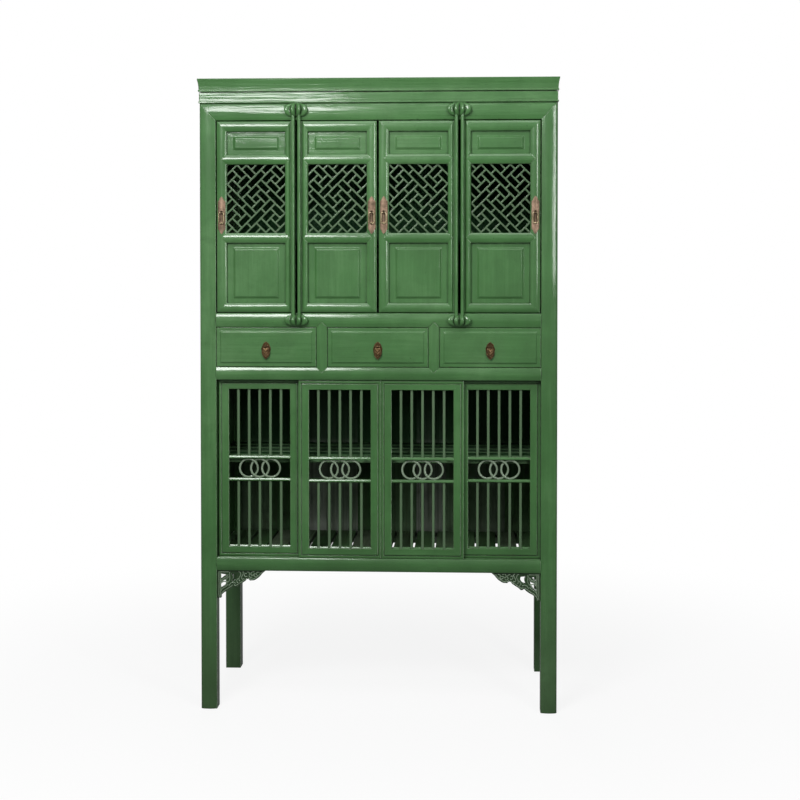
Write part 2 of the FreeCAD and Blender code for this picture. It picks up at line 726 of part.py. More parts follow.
def leaf_grooves():
    """Groove rooms of the two panels and the lattice."""
    panel = (LEAF_FACE + LEAF_PANEL_SET, LEAF_FACE + LEAF_PANEL_SET + LEAF_PANEL)
    lattice = (LEAF_FACE + LATTICE_SET, LEAF_FACE + LATTICE_SET + LATTICE)
    rooms = []
    for z, y in ((SMALL_Z, panel), (SQUARE_Z, panel), (LATTICE_Z, lattice)):
        x, z = leaf_opening(z, GROOVE)
        rooms.append(block(x, y, z))
    return rooms


def leaf_frame():
    """Door frame about its pivot axis: two stiles, the rod on one of them, and four rails."""
    depth = (LEAF_FACE, LEAF_BACK)
    through = (LEAF_FACE - 1, LEAF_BACK + 1)
    x = (FACE_X, OPEN_X[0], OPEN_X[1], LEAF_REACH)
    z = LEAF_Z
    mids = [(SMALL_Z[0] - LEAF_MID, SMALL_Z[0]), (SQUARE_Z[1], SQUARE_Z[1] + LEAF_MID)]
    mid_rooms = [front_prism(leaf_mid_outline(mid), through) for mid in mids]
    top = [(x[0], z[1]), (x[3], z[1]), (x[2], SMALL_Z[1]), (x[1], SMALL_Z[1])]
    low = [(x[0], z[0]), (x[3], z[0]), (x[2], SQUARE_Z[0]), (x[1], SQUARE_Z[0])]
    pivot = [(-x[0], z[0]), (-x[0], z[1]), (x[0], z[1]), (x[1], SMALL_Z[1]), (x[1], SQUARE_Z[0]),
             (x[0], z[0])]
    lock = [(x[3], z[0]), (x[3], z[1]), (x[2], SMALL_Z[1]), (x[2], SQUARE_Z[0])]
    grooves = leaf_grooves()
    pieces = []
    for span, outline in (((SMALL_Z[1], z[1]), top), ((z[0], SQUARE_Z[0]), low)):
        bar = rail_bar((x[0], x[3]), depth, span, LEAF_CROWN)
        pieces.append(trimmed(bar.common(front_prism(outline, through)), grooves))
    for span, room in zip(mids, mid_rooms):
        pieces.append(trimmed(rail_bar((x[0], x[3]), depth, span, LEAF_CROWN).common(room), grooves))
    stile = stile_bar(x[2:], depth, z, LEAF_CROWN).common(front_prism(lock, through))
    pieces.append(trimmed(stile, mid_rooms + grooves))
    stile, ends = pivot_stile(x[:2])
    stile = stile.common(front_prism(pivot, (AXIS_Y - LEAF, LEAF_BACK + 1)))
    pieces.append(joined(trimmed(stile, mid_rooms + grooves), *ends))
    return pieces


def pivot_stile(face_x):
    """Pivot stile with the rod in front of it, which runs on at both ends."""
    edge = LEAF_FACE + LEAF_CROWN
    neck = NECK / 2
    seat = AXIS_Y + math.sqrt(ROD ** 2 - neck ** 2)
    section = [(face_x[1], LEAF_BACK), (face_x[1], edge), ("via", sum(face_x) / 2, LEAF_FACE),
               (face_x[0], edge), (neck, edge), (neck, seat), ("via", 0, AXIS_Y - ROD), (-neck, seat),
               (-neck, edge), (-ROD, edge), (-ROD, LEAF_BACK)]
    low = Z_DOOR - LOTUS_DROP - ROD_DEPTH
    high = Z_TOP_RAIL + LOTUS_RISE + ROD_DEPTH
    ends = [rod((0, AXIS_Y, a), (0, 0, 1), ROD, b - a) for a, b in ((low, LEAF_Z[0]), (LEAF_Z[1], high))]
    return plan_prism(section, LEAF_Z), ends


def leaf_panels():
    """The small and the square raised panel of a door."""
    back = LEAF_FACE + LEAF_PANEL_SET + LEAF_PANEL
    edge = GROOVE - GROOVE_PLAY
    margins = (FIELD_SIDE, FIELD_MARGIN)
    return [raised_panel(OPEN_X, z, back, LEAF_PANEL, FIELD_RISE, margins, FIELD_BEVEL, edge)
            for z in (SMALL_Z, SQUARE_Z)]


def fret_cells(reach):
    """Openings of the fret in strip spacings, as (low u, high u, low v, high v).

    Pinwheels of four oblongs about a square stand four spacings apart and turn either way by turns.
    Long oblongs fill the crossings between them, one way and the other by turns, and shorter ones
    close the lanes.
    """
    cells = []
    for i in range(-reach, reach + 1):
        for j in range(-reach, reach + 1):
            u = 4 * i
            v = 4 * j
            s = 1 if (i + j) % 2 == 0 else -1
            cells.append((u - 0.5, u + 0.5, v - 0.5, v + 0.5))
            for side in (-1, 1):
                cells.append((*around(u - 0.5 * s * side, 2), *around(v + side, 1)))
                cells.append((*around(u + side, 1), *around(v + 0.5 * s * side, 2)))
            along_u, along_v = (1, 3) if s > 0 else (3, 1)
            cells.append((*around(u + 2, along_u), *around(v + 2, along_v)))
            cells.append((*around(u + 0.5 * s, 2), *around(v + 2, 1)))
            cells.append((*around(u + 2, 1), *around(v - 0.5 * s, 2)))
    return cells


def lattice():
    """Diagonal pinwheel lattice of a right-hand door, in one openwork panel with its edge in the frame."""
    edge = GROOVE - GROOVE_PLAY
    x, z = leaf_opening(LATTICE_Z, edge)
    y = LEAF_FACE + LATTICE_SET
    centre = (sum(OPEN_X) / 2, sum(LATTICE_Z) / 2)
    side = FRET / math.sqrt(2)
    inset = STRIP / 2 / FRET
    reach = int(LATTICE_HEIGHT / FRET / 4) + 1

    def place(u, v):
        return V(centre[0] + (u + v) * side, y, centre[1] + (v - u) * side)

    window = Part.Face(front_rectangle(OPEN_X, LATTICE_Z, y))
    holes = []
    for u0, u1, v0, v1 in fret_cells(reach):
        u = (u0 + inset, u1 - inset)
        v = (v0 + inset, v1 - inset)
        cell = Part.Face(closed_wire([(u[0], v[0]), (u[1], v[0]), (u[1], v[1]), (u[0], v[1])], place))
        holes += [part for part in cell.common(window).Faces if part.Area > SMALLEST_HOLE]
    plate = Part.Face(front_rectangle(x, z, y)).cut(holes)
    return plate.Faces[0].extrude(V(0, LATTICE, 0))


def eye_lug(x, face, z, out, hole):
    """Eye lug standing on a face, bored across for a pull."""
    nose = hole + EYE_WALL
    tip = face - out - nose
    path = [(face, z - nose), (face - out, z - nose), (tip, z - nose / 2), (tip, z + nose / 2),
            (face - out, z + nose), (face, z + nose)]
    lug = side_prism(path, around(x, EYE))
    return trimmed(lug, [rod((x - EYE, face - out, z), (1, 0, 0), hole, 2 * EYE)])


def plate_outline():
    """Brass plate with stepped shoulders and a point at each end."""
    w = PLATE_WIDTH / 2
    h = PLATE_HEIGHT / 2
    e = PLATE_END
    quarter = [(w, h - 1.5 * e), (w - 0.5 * e, h - e), (w - 0.5 * e, h - 0.7 * e)]
    upper = quarter + [(0, h)] + mirrored_path(quarter)
    lower = [(x, -z) for x, z in upper[::-1]]
    return [(x + LOCK_X, z + PLATE_Z) for x, z in upper + lower]


def door_plate():
    """Shaped brass plate bent over the lock stile, with its eye lug."""
    x = (OPEN_X[1], LEAF_REACH)
    span = around(PLATE_Z, PLATE_HEIGHT)
    stile = stile_bar(x, (LEAF_FACE, LEAF_BACK), span, LEAF_CROWN)
    sheet = stile_bar(x, (LEAF_FACE - PLATE_SHEET, LEAF_BACK), span, LEAF_CROWN).cut(stile)
    plate = sheet.common(front_prism(plate_outline(), (LEAF_FACE - LEAF, LEAF_BACK)))
    lug = eye_lug(LOCK_X, LEAF_FACE + LEAF_CROWN, EYE_Z, PULL_OUT + LEAF_CROWN, RING_WIRE + EYE_PLAY)
    return joined(plate.Solids[0], trimmed(lug, [stile]))


def mirrored_path(path):
    """Outline points mirrored across X = 0, walked backwards."""
    return [("via", -p[1], p[2]) if p[0] == "via" else (-p[0], p[1]) for p in path][::-1]


def door_ring():
    """Hanging loop on a pin through its eye lug."""
    w = RING_WIDTH / 2
    t = 2 * RING_WIRE
    top = EYE_Z + RING_WIRE
    low = top - RING_HEIGHT
    y = LEAF_FACE - PULL_OUT
    outer = [(w, top), (w, low + RING_CUT), (w - RING_CUT, low)]
    inner = [(w - t, top), (w - t, low + RING_CUT), (w - RING_CUT, low + t)]
    path = outer + mirrored_path(outer) + mirrored_path(inner)[::-1] + inner[::-1]
    path = [(x + LOCK_X, z) for x, z in path]
    pin = rod((LOCK_X - w, y, EYE_Z), (1, 0, 0), RING_WIRE, RING_WIDTH)
    return joined(front_prism(path, around(y, t)), pin)


def door(number):
    """Nodes of one pivot door; doors 2 and 4 pivot on their left, 1 and 3 are their mirror images."""
    outer = number in (1, 4)
    fret = lattice()
    if not outer:
        middle = sum(OPEN_X) / 2
        fret = fret.mirror(V(middle, 0, 0), V(1, 0, 0))
    pieces = {"frame": leaf_frame(), "panels": leaf_panels(), "lattice": [fret], "plate": [door_plate()],
              "pull": [door_ring()]}
    axis = X_PAIR + AXIS_HALF if outer else AXIS_HALF - X_PAIR
    nodes = {}
    for name, shapes in pieces.items():
        placed = [moved(shape, axis, 0, 0) for shape in shapes]
        if number in (1, 3):
            placed = [flipped(shape) for shape in placed]
        nodes[f"upper_door_{number}_{name}"] = placed
    return nodes


def drawer_front():
    """Drawer front with a raised field, housed behind for the sides and grooved for the bottom."""
    x = around(0, DRAWER_WIDTH - 2 * DRAWER_PLAY)
    z = (Z_DRAWER + DRAWER_PLAY, Z_DOOR_RAIL - DRAWER_PLAY)
    back = FRONT + DRAWER_SET + DRAWER_FRONT
    margins = (DRAWER_MARGIN, DRAWER_MARGIN)
    front = raised_panel(x, z, back, DRAWER_FRONT, DRAWER_FIELD_RISE, margins, DRAWER_BEVEL, 0)
    return trimmed(front, drawer_box())


def drawer_box():
    """Two sides let into the front, a back and a bottom."""
    back = FRONT + DRAWER_SET + DRAWER_FRONT
    x = (DRAWER_WIDTH / 2 - DRAWER_PLAY - DRAWER_SIDE, DRAWER_WIDTH / 2 - DRAWER_PLAY)
    low = Z_DRAWER + DRAWER_REST
    end = back + DRAWER_LENGTH
    z = (low, low + DRAWER_SIDE_HEIGHT)
    floor_z = (low + DRAWER_BOTTOM_UP, low + DRAWER_BOTTOM_UP + DRAWER_BOTTOM)
    inset = DRAWER_SIDE / 2
    floor = block((-x[0] - inset, x[0] + inset), (back - inset, end), floor_z)
    side = block(x, (back - HOUSING, end), z).cut(floor)
    tail = block((-x[0], x[0]), (end - DRAWER_SIDE, end), (floor_z[1], z[1]))
    return [side, flipped(side), tail, floor]


def drawer_field():
    """Plane of a drawer's raised field and the height of its middle."""
    return FRONT + DRAWER_SET - DRAWER_FIELD_RISE, (Z_DRAWER + Z_DOOR_RAIL) / 2


def drawer_plate():
    """Pointed oval plate on a drawer front, with its eye lug."""
    face, middle = drawer_field()
    w = LEAF_PLATE_WIDTH / 2
    h = LEAF_PLATE_HEIGHT / 2
    z = middle - LEAF_PLATE_DROP
    right = [(0, z + h), (0.62 * w, z + 0.72 * h), (w, z + 0.2 * h), (0.8 * w, z - 0.5 * h)]
    path = right + [(0, z - h)] + mirrored_path(right[1:])
    plate = front_prism(path, (face - PLATE_SHEET, face))
    return joined(plate, eye_lug(0, face, z + DROP_EYE_UP, DROP_OUT, DROP_WIRE + EYE_PLAY))


def drawer_drop():
    """Leaf-shaped drop: two arms on a pin through the eye lug, then a pointed leaf."""
    face, middle = drawer_field()
    y = face - DROP_OUT
    z = middle - LEAF_PLATE_DROP + DROP_EYE_UP
    a = EYE / 2 + DROP_ARM_PLAY
    b = a + DROP_ARM
    w = DROP_WIDTH / 2
    top = DROP_WIRE + 0.6
    shoulder = 0.2 * DROP_HEIGHT
    widest = 0.45 * DROP_HEIGHT
    right = [(a, z + top), (b, z + top), (b, z - shoulder), (w, z - widest),
             (0.72 * w, z - 0.76 * DROP_HEIGHT)]
    window = [(-a, z - shoulder), (a, z - shoulder)]
    path = right + [(0, z - DROP_HEIGHT)] + mirrored_path(right) + window
    leaf = front_prism(path, around(y, DROP_THICK))
    pin = rod((-b, y, z), (1, 0, 0), DROP_WIRE, 2 * b)
    return joined(leaf, pin)


def drawer(number):
    """Nodes of one drawer."""
    pieces = {"front": [drawer_front()], "box": drawer_box(), "plate": [drawer_plate()],
              "pull": [drawer_drop()]}
    shift = (number - 2) * DRAWER_PITCH
    return {f"drawer_{number}_{name}": [moved(shape, shift, 0, 0) for shape in shapes]
            for name, shapes in pieces.items()}


def bordered(inner, outer, face, back):
    """Section of a sliding door member, grooved inside its lowered border, as (across, depth) points."""
    step = outer + math.copysign(SLIDE_BORDER, inner - outer)
    side = step - math.copysign(SLIDE_GROOVE, inner - outer)
    low = face + SLIDE_BORDER_DEPTH
    deep = low + SLIDE_GROOVE_DEPTH
    return [(inner, back), (inner, face), (step, face), (step, deep), (side, deep), (side, low),
            (outer, low), (outer, back)]


def slide_mids():
    """Heights of the two thin middle rails."""
    half = RINGS_ROOM / 2
    return [(RINGS_Z - half - SLIDE_MID, RINGS_Z - half), (RINGS_Z + half, RINGS_Z + half + SLIDE_MID)]


def slide_frame():
    """Sliding door frame on the front track: mitred stiles and rails with tongues, and two middle rails."""
    face = FRONT + SLIDE_SET
    back = face + SLIDE
    through = (face - 1, back + 1)
    w = SLIDE_WIDTH / 2
    inner = w - SLIDE_STILE
    low, high = SLIDE_Z
    open_z = (low + SLIDE_BOTTOM, high - SLIDE_TOP)
    tongue_y = around(face + SLIDE / 2, TONGUE)
    corners = [(-w, high), (w, high), (inner, open_z[1]), (-inner, open_z[1])]
    top = side_prism([(d, a) for a, d in bordered(open_z[1], high, face, back)], (-w, w))
    tongue = block((-w, w), tongue_y, (high, high + TONGUE_TOP))
    top = joined(top.common(front_prism(corners, through)), tongue)
    corners = [(-w, low), (w, low), (inner, open_z[0]), (-inner, open_z[0])]
    foot = side_prism([(d, a) for a, d in bordered(open_z[0], low, face, back)], (-w, w))
    tongue = block((-w, w), tongue_y, (low - TONGUE_BOTTOM, low))
    foot = joined(foot.common(front_prism(corners, through)), tongue)
    corners = [(w, low), (w, high), (inner, open_z[1]), (inner, open_z[0])]
    stile = plan_prism(bordered(inner, w, face, back), SLIDE_Z)
    stile = stile.common(front_prism(corners, through)).Solids[0]
    mid_y = (face + BAR_SET / 2, back - BAR_SET / 2)
    mids = [block((-inner, inner), mid_y, span) for span in slide_mids()]
    groove_y = around(face + BAR_SET + BAR_THICK / 2, BAR_THICK)
    grooves = [block((-inner, inner), groove_y, span) for span in bar_spans()]
    rails = [trimmed(rail, grooves) for rail in [top, foot] + mids]
    return rails + both_sides(stile)


def bar_spans():
    """Heights of the lower and the upper bars with their ends in the grooves."""
    mids = slide_mids()
    spans = [(SLIDE_Z[0] + SLIDE_BOTTOM, mids[0][0]), (mids[1][1], SLIDE_Z[1] - SLIDE_TOP)]
    return [(low - BAR_TENON, high + BAR_TENON) for low, high in spans]


def slide_bars():
    """Upright bars above and below the ring row."""
    inner = SLIDE_WIDTH - 2 * SLIDE_STILE
    y = FRONT + SLIDE_SET + BAR_SET
    pitch = (inner + BAR) / (BARS + 1)
    bars = []
    for span in bar_spans():
        for i in range(BARS):
            x = around((i - (BARS - 1) / 2) * pitch, BAR)
            bars.append(block(x, (y, y + BAR_THICK), span))
    return bars


def ring(x, y):
    """One flat ring of the row."""
    base = V(x, y, RINGS_Z)
    outer = Part.makeCylinder(RING_OUT, BAR_THICK, base, V(0, 1, 0))
    return outer.cut(Part.makeCylinder(RING_OUT - RING_BAND, BAR_THICK, base, V(0, 1, 0)))


def ring_row():
    """Three interlocked rings carved as one piece, seated between the middle rails."""
    y = FRONT + SLIDE_SET + BAR_SET
    row = joined(*[ring(x, y) for x in (-RING_PITCH, 0, RING_PITCH)])
    inner = SLIDE_WIDTH / 2 - SLIDE_STILE
    return trimmed(row, [block((-inner, inner), (y - SLIDE, y + SLIDE), span) for span in slide_mids()])


def sliding_door(number):
    """Nodes of one sliding door; 1 and 4 run behind at the ends, 2 and 3 meet in front at the middle."""
    outer = number in (1, 4)
    centre = X_IN - SLIDE_END - SLIDE_WIDTH / 2 if outer else SLIDE_MEET + SLIDE_WIDTH / 2
    shift = SLIDE_STANDS[number - 1] + (-centre if number < 3 else centre)
    back = SLIDE_STEP if outer else 0
    pieces = {"frame": slide_frame(), "grille": slide_bars() + [ring_row()]}
    return {f"sliding_door_{number}_{name}": [moved(shape, shift, back, 0) for shape in shapes]
            for name, shapes in pieces.items()}


def carcass():
    """Nodes of the case itself."""
    return {
        "front_posts": both_sides(front_post()),
        "rear_posts": both_sides(rear_post()),
        "cornice": cap(),
        "top_board": [top_board()],
        "top_rail": [top_rail()],
        "door_rail": [door_rail()],
        "drawer_rail": [drawer_rail()],
        "bottom_rail": [bottom_rail()],
        "side_rails": [piece for level in LEVELS for piece in both_sides(side_rail(level))],
        "rear_rails": [rear_rail(level) for level in rear_levels()],
        "side_panels": [piece for low, high in side_bays() for piece in both_sides(side_panel(low, high))],
        "back_planks": back_planks(),
        "inner_floors": [cupboard_floor(), dust_board()],
        "cupboard_shelf": [cupboard_shelf()],
        "inner_battens": inner_battens(),
        "drawer_dividers": dividers(),
        "slatted_shelf": slatted_shelf(),
        "floor_slats": floor_slats(),
        "lotus_blocks": lotus_blocks(),
        "spandrels": both_sides(spandrel()),
    }


def main():
    """Build every node and write it out."""
    nodes = carcass()
    for number in (1, 2, 3, 4):
        nodes.update(door(number))
        nodes.update(sliding_door(number))
    for number in (1, 2, 3):
        nodes.update(drawer(number))
    os.makedirs("parts", exist_ok=True)
    for name, solids in nodes.items():
        Part.makeCompound(solids).exportStep(f"parts/{name}.step")
    print(len(nodes), "nodes,", sum(len(solids) for solids in nodes.values()), "solids")


if __name__ == "__main__":
    main()
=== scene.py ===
"""Green lacquered lattice cabinet: finishes, made pieces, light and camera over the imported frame."""
import math
import bmesh
import bpy
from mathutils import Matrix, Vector


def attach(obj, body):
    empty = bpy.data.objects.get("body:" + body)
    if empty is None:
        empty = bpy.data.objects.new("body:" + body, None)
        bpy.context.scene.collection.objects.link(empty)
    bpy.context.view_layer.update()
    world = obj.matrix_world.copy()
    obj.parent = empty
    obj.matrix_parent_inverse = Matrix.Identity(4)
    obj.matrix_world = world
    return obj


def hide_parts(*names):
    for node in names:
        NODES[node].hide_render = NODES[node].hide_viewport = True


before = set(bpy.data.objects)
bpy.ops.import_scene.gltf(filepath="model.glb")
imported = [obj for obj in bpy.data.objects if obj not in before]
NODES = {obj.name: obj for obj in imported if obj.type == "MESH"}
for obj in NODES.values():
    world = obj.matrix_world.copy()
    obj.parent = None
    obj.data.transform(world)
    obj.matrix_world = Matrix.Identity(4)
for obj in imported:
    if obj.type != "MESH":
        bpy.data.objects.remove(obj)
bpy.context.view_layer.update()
MM = 0.001
AXES = "XYZ"

# Case and back, in millimetres
FRONT = -224.0                # front face of the posts
X_IN = 462.0                  # inner face of a post
Z_BOTTOM = 398.0              # underside of the bottom rail
PLANKS = 10
PLANK_PITCH = 92.4
SEAM_BAYS = ((432.0, 1099.0), (1131.0, 1686.0))
SEAM_Y = (225.0, 229.0)
SEAM_HALF = 0.4
SEAM_EASE = 0.1

# Pivots and lotus buds of the upper doors, in millimetres
PIVOTS_X = (-239.5, -222.5, 222.5, 239.5)
PIVOT_Y = -231.5
PAIRS_X = (-231.0, 231.0)     # middle of each pair of pivots
PAIR_NEAR = 20.0              # a pivot nearer than this to the middle belongs to the pair
LOTUS = (                     # foot, top, blind end of the sockets, and 1 if they open upwards
    (1690.0, 1731.0, 1712.6, -1),
    (1098.0, 1132.0, 1115.4, 1),
)
LOTUS_BACK = -220.0
LOTUS_HALF = 44.0
LOTUS_PROUD = 26.0
LOTUS_RINGS = 24
LOTUS_STEPS = 100
LOBE_CUT = 0.42               # depth of the grooves between lobes, as a share of the radius
LIP = 0.03                    # rise of the lip, as a share of the radius
LIP_AT, LIP_WIDTH = 0.95, 0.16
SOCKET_RADIUS = 5.35
SOCKET_STEPS = 24
SOCKET_OPEN = 4.0             # a socket's cutter starts this far outside its bud

# Ring pulls of the upper doors, in millimetres
PULLS_X = (-444.8, -17.2, 17.2, 444.8)
PULL_Y = -228.8
PULL_TOP = 1420.0
PULL_FOOT = 1390.2
PULL_HALF = 6.9
PULL_CORNER = 3.6
PULL_WIRE = 1.55
PULL_BEAD_HALF = 3.1
PULL_BEAD = 2.3
EYE_Z = 1423.0

# Leaf drops of the drawers, in millimetres
DRAWERS_X = (-318.333, 0.0, 318.333)
LEAF_Y = -229.7
LEAF_TOP = 1036.0
LEAF_LENGTH = 31.0
LEAF_HALF = 10.6
LEAF_ROWS = 40
LEAF_STEPS = 32

# Sliding doors, in millimetres
SLIDES_X = (-341.2, -108.8, 126.8, 344.2)
SLIDE_FACES = (-199.0, -218.0, -218.0, -199.0)
BARS = 5
BAR_PITCH = 30.667
BAR_SPANS = ((460.8, 656.0), (722.0, 920.0))
BAR_SET = 4.0                 # bars behind the frame face
BAR_HALF = 3.8
BAR_THICK = 8.0
BAR_EASE = 1.6
RINGS_Z = 689.0
RING_PITCH = 32.0
RING_RADIUS = 25.9
RING_WEAVE = 2.05             # how far a ring swings to the front and back
RING_STEPS = 72
RING_SECTION = [(2.9, 0.9), (2.1, 1.9), (-2.1, 1.9), (-2.9, 0.9),
                (-2.9, -0.9), (-2.1, -1.9), (2.1, -1.9), (2.9, -0.9)]
BEAD_HALF = 88.4              # half the length of the beads
NOSE_LEVELS = (657.0, 721.0)
NOSE = [(2.2, -4.0), (0.9, -3.6), (0.45, -2.6), (0.4, -1.3), (0.5, -0.6),
        (1.1, 0.87), (1.7, 2.33), (2.3, 3.8), (3.2, 4.0)]
SILL = [(8.4, 460.0), (5.3, 460.0), (5.2, 463.8), (5.4, 464.3),
        (5.9, 465.4), (6.45, 466.5), (7.0, 467.6), (8.4, 468.0)]

# Scrolls of a spandrel, in millimetres from the post and down from the rail
SCROLL_SET = 10.0             # spandrel face behind the post face
SCROLL_HALF = 1.5
SCROLL_RISE = 2.3
SCROLL_SINK = 0.8
SCROLL_STEPS = 6
STROKES = [
    [(136, 2.5), (127, 7), (119, 16), (106, 24.5), (95, 25.5), (89, 21.5)],
    [(86, 23), (80.5, 27), (70, 34), (59, 41), (53, 44.5), (48.5, 41.5)],
    [(45, 42.5), (39, 47.5), (26, 56), (18, 61.5), (12, 68), (8.5, 74), (8, 78)],
    [(122, 4.5), (116, 6), (113, 11), (116, 15.5), (111, 18.5), (106, 15), (107.5, 10.5), (111, 10.5)],
    [(108, 5), (102, 4.5), (97.5, 8), (98.5, 13.5), (103, 14.5), (104.5, 11)],
    [(101, 19.5), (95, 20.5), (92, 16), (94, 11), (91, 6), (86, 5)],
    [(87, 17), (82, 19), (78.5, 14.5), (81, 9.5), (85, 10.5)],
    [(78, 24), (72.5, 26), (70, 20.5), (73, 15), (77, 7), (73, 4.5)],
    [(66, 32), (62.5, 27), (64.5, 20), (68, 13), (65.5, 6), (60.5, 4.5)],
    [(60, 36.5), (56, 33), (58, 27.5), (61, 23.5)],
    [(53, 37.5), (47, 35.5), (41.5, 36), (37, 40), (33, 45.5)],
    [(36.5, 5), (35.5, 12), (36.5, 20), (36, 27), (33, 33), (28, 36.5), (25.5, 41), (21, 46)],
    [(6, 5), (20, 5.5), (33, 5)],
    [(5, 4), (5, 20), (5.2, 40), (5, 60), (5, 77)],
    [(10, 4), (10.5, 20), (10, 40), (10.5, 58), (9, 68)],
    [(34, 18), (27, 25), (19, 28.5), (10, 34)],
    [(31, 34), (24, 33), (17, 33.5), (11, 38)],
    [(33, 13), (26, 20.5), (18, 24.5), (10, 31)],
    [(32, 40), (26, 46.5), (19, 50.5), (13, 56), (9, 63)],
]

# Widths of eased edges, in millimetres
EASE_CASE = 1.2
EASE_FRAME = 0.8
EASE_PANEL = 0.6
EASE_STRIP = 0.5
EASE_DROP = 0.4
EASE_PLATE = 0.3

# Mesh limits: metres and radians
WELD_GAP = 0.00002
DOUBLE_GAP = 0.000005
CREASE = math.radians(34)
EASED_FROM = math.radians(32)

# Linear colours of the lacquer
GREEN = (0.058, 0.168, 0.049)
GREEN_DEEP = (0.037, 0.114, 0.030)
GREEN_PALE = (0.094, 0.214, 0.079)
# Dark glaze of the specks, and also the colour of painted shade in corners and over the spandrel ground
GLAZE = (0.006, 0.013, 0.005)
WORN = (0.150, 0.235, 0.115)
UNDERCOAT = (0.034, 0.024, 0.012)
# Painted shade: the colour that darkens the lacquer towards the bottom
GRIME = (0.040, 0.056, 0.030)
DUST = (0.125, 0.158, 0.115)
# Pale colour of a painted sheen on the grille rings and the spandrel scrolls
PALE_RING = (0.300, 0.370, 0.280)
# Pale colour of a painted highlight on right-facing edges
BARE_EDGE = (0.420, 0.540, 0.390)

# Linear colours of the inside and the back
BOARD_DARK = (0.040, 0.118, 0.034)
BOARD_GREEN = (0.085, 0.200, 0.072)
BOARD_PALE = (0.400, 0.430, 0.385)
BOARD_FIBRE = (0.060, 0.085, 0.045)
BOARD_CLOUD = (0.050, 0.130, 0.043)
BOARD_STAIN = (0.018, 0.014, 0.009)
# Painted shade in the corners of the inside
BOARD_CORNER = (0.006, 0.006, 0.004)
# Painted shade on the slat tops, and a painted highlight on their front edges
SLAT_TOP = (0.020, 0.040, 0.016)
SLAT_FRONT = (0.200, 0.360, 0.170)
# Deep green with painted shade, for the inside above the slatted shelf
UPPER_GREEN = (0.007, 0.060, 0.014)
BACK_DARK = (0.028, 0.020, 0.013)
BACK_WOOD = (0.085, 0.064, 0.043)
BACK_PALE = (0.130, 0.103, 0.073)
BACK_STAIN = (0.020, 0.015, 0.010)
PLANK_TONE = (0.034, 0.025, 0.016)
PLANK_SEAM = (0.006, 0.005, 0.003)

# Linear colours of the metal and the studio
PULL_SHADE = (0.030, 0.020, 0.008)
SKY = (0.95, 0.98, 1.0)
WHITE = (1.0, 1.0, 1.0)
FLOOR_GREY = (0.18, 0.18, 0.18)
FLOOR_PALE = (0.90, 0.90, 0.90)

# Painted sheen in a band of the lacquer: metres that it fades over, and its share of sheen colour
BAND_FADE = 0.003
BAND_SHARE = 0.55

# Factors that bring lengths in metres to the 0 to 1 of a ramp
OVER_2_M = 0.5
OVER_25_CM = 4.0
OVER_5_CM = 20.0
OVER_1_CM = 100.0

# Studio: metres, watts and degrees
SKY_LEVEL = 0.18
FLOOR_HALF = 9
FLOOR_MIRRORED = 0.1          # share of the floor's white in reflections
LAMPS = (                     # name, place, aim, size, power
    ("key", (-0.75, -2.5, 2.38), (0.0, -0.22, 1.4), (0.9, 0.75), 51.0),
    ("softbox", (0.2, -1.8, 3.4), (0.0, -0.22, 1.2), (2.8, 0.8), 26.0),
    ("rear_window", (-0.9, 3.3, 2.3), (0.0, 0.24, 1.0), (2.2, 1.4), 34.0),
    ("side_window", (1.5, -2.5, 1.8), (0.1, -0.22, 1.4), (0.3, 1.2), 19.0),
)
CAMERA_PLACE = (0.2699, -4.3316, 1.2769)
CAMERA_TILT = 88.62
CAMERA_TURN = 2.685
CAMERA_SHIFT = (-0.00618, -0.1272)
CAMERA_LENS = 65.43
CAMERA_SENSOR = 36.0
CAMERA_REACH = 60.0


class Nodes:
    """A node tree with short ways to add what it needs."""

    def __init__(self, tree):
        self.tree = tree
        self.tree.nodes.clear()

    def node(self, kind, **settings):
        made = self.tree.nodes.new(kind)
        for key, value in settings.items():
            setattr(made, key, value)
        return made

    def feed(self, socket, value):
        """Link a socket to another, or write a plain value into it."""
        if isinstance(value, bpy.types.NodeSocket):
            self.tree.links.new(value, socket)
        elif isinstance(value, tuple) and len(value) == 3 and socket.type == "RGBA":
            socket.default_value = (*value, 1.0)
        else:
            socket.default_value = value

    def fed(self, kind, **sockets):
        """A node with its sockets fed by name, with _ for a space."""
        made = self.node(kind)
        for key, value in sockets.items():
            self.feed(made.inputs[key.replace("_", " ")], value)
        return made

    def split(self, vector):
        """Outputs X, Y and Z of a vector."""
        made = self.node("ShaderNodeSeparateXYZ")
        self.feed(made.inputs[0], vector)
        return made.outputs

    def calc(self, operation, first, second=0.0):
        made = self.node("ShaderNodeMath", operation=operation)
        self.feed(made.inputs[0], first)
        self.feed(made.inputs[1], second)
        return made.outputs[0]

    def plus(self, first, second):
        return self.calc("ADD", first, second)

    def minus(self, first, second):
        return self.calc("SUBTRACT", first, second)

    def times(self, first, second):
        return self.calc("MULTIPLY", first, second)

    def apart(self, first, second):
        return self.calc("ABSOLUTE", self.minus(first, second))

    def eased(self, value, from_min, from_max, to_min, to_max):
        """Carry a value from one range to another, with soft ends."""
        made = self.node("ShaderNodeMapRange", interpolation_type="SMOOTHSTEP")
        ends = (("From Min", from_min), ("From Max", from_max), ("To Min", to_min), ("To Max", to_max))
        for key, end in ends:
            self.feed(made.inputs[key], end)
        self.feed(made.inputs["Value"], value)
        return made.outputs["Result"]

    def blend(self, share, first, second):
        """Mix two shaders."""
        made = self.node("ShaderNodeMixShader")
        for socket, value in zip(made.inputs, (share, first, second)):
            self.feed(socket, value)
        return made.outputs[0]

    def seen_directly(self, mirrored=1.0):
        """1 for the camera and through clear glass, a share in reflections, 0 for light on other surfaces."""
        path = self.node("ShaderNodeLightPath").outputs
        seen = self.times(path["Is Glossy Ray"], mirrored)
        for ray in ("Is Camera Ray", "Is Transmission Ray"):
            seen = self.calc("MAXIMUM", seen, path[ray])
        return seen


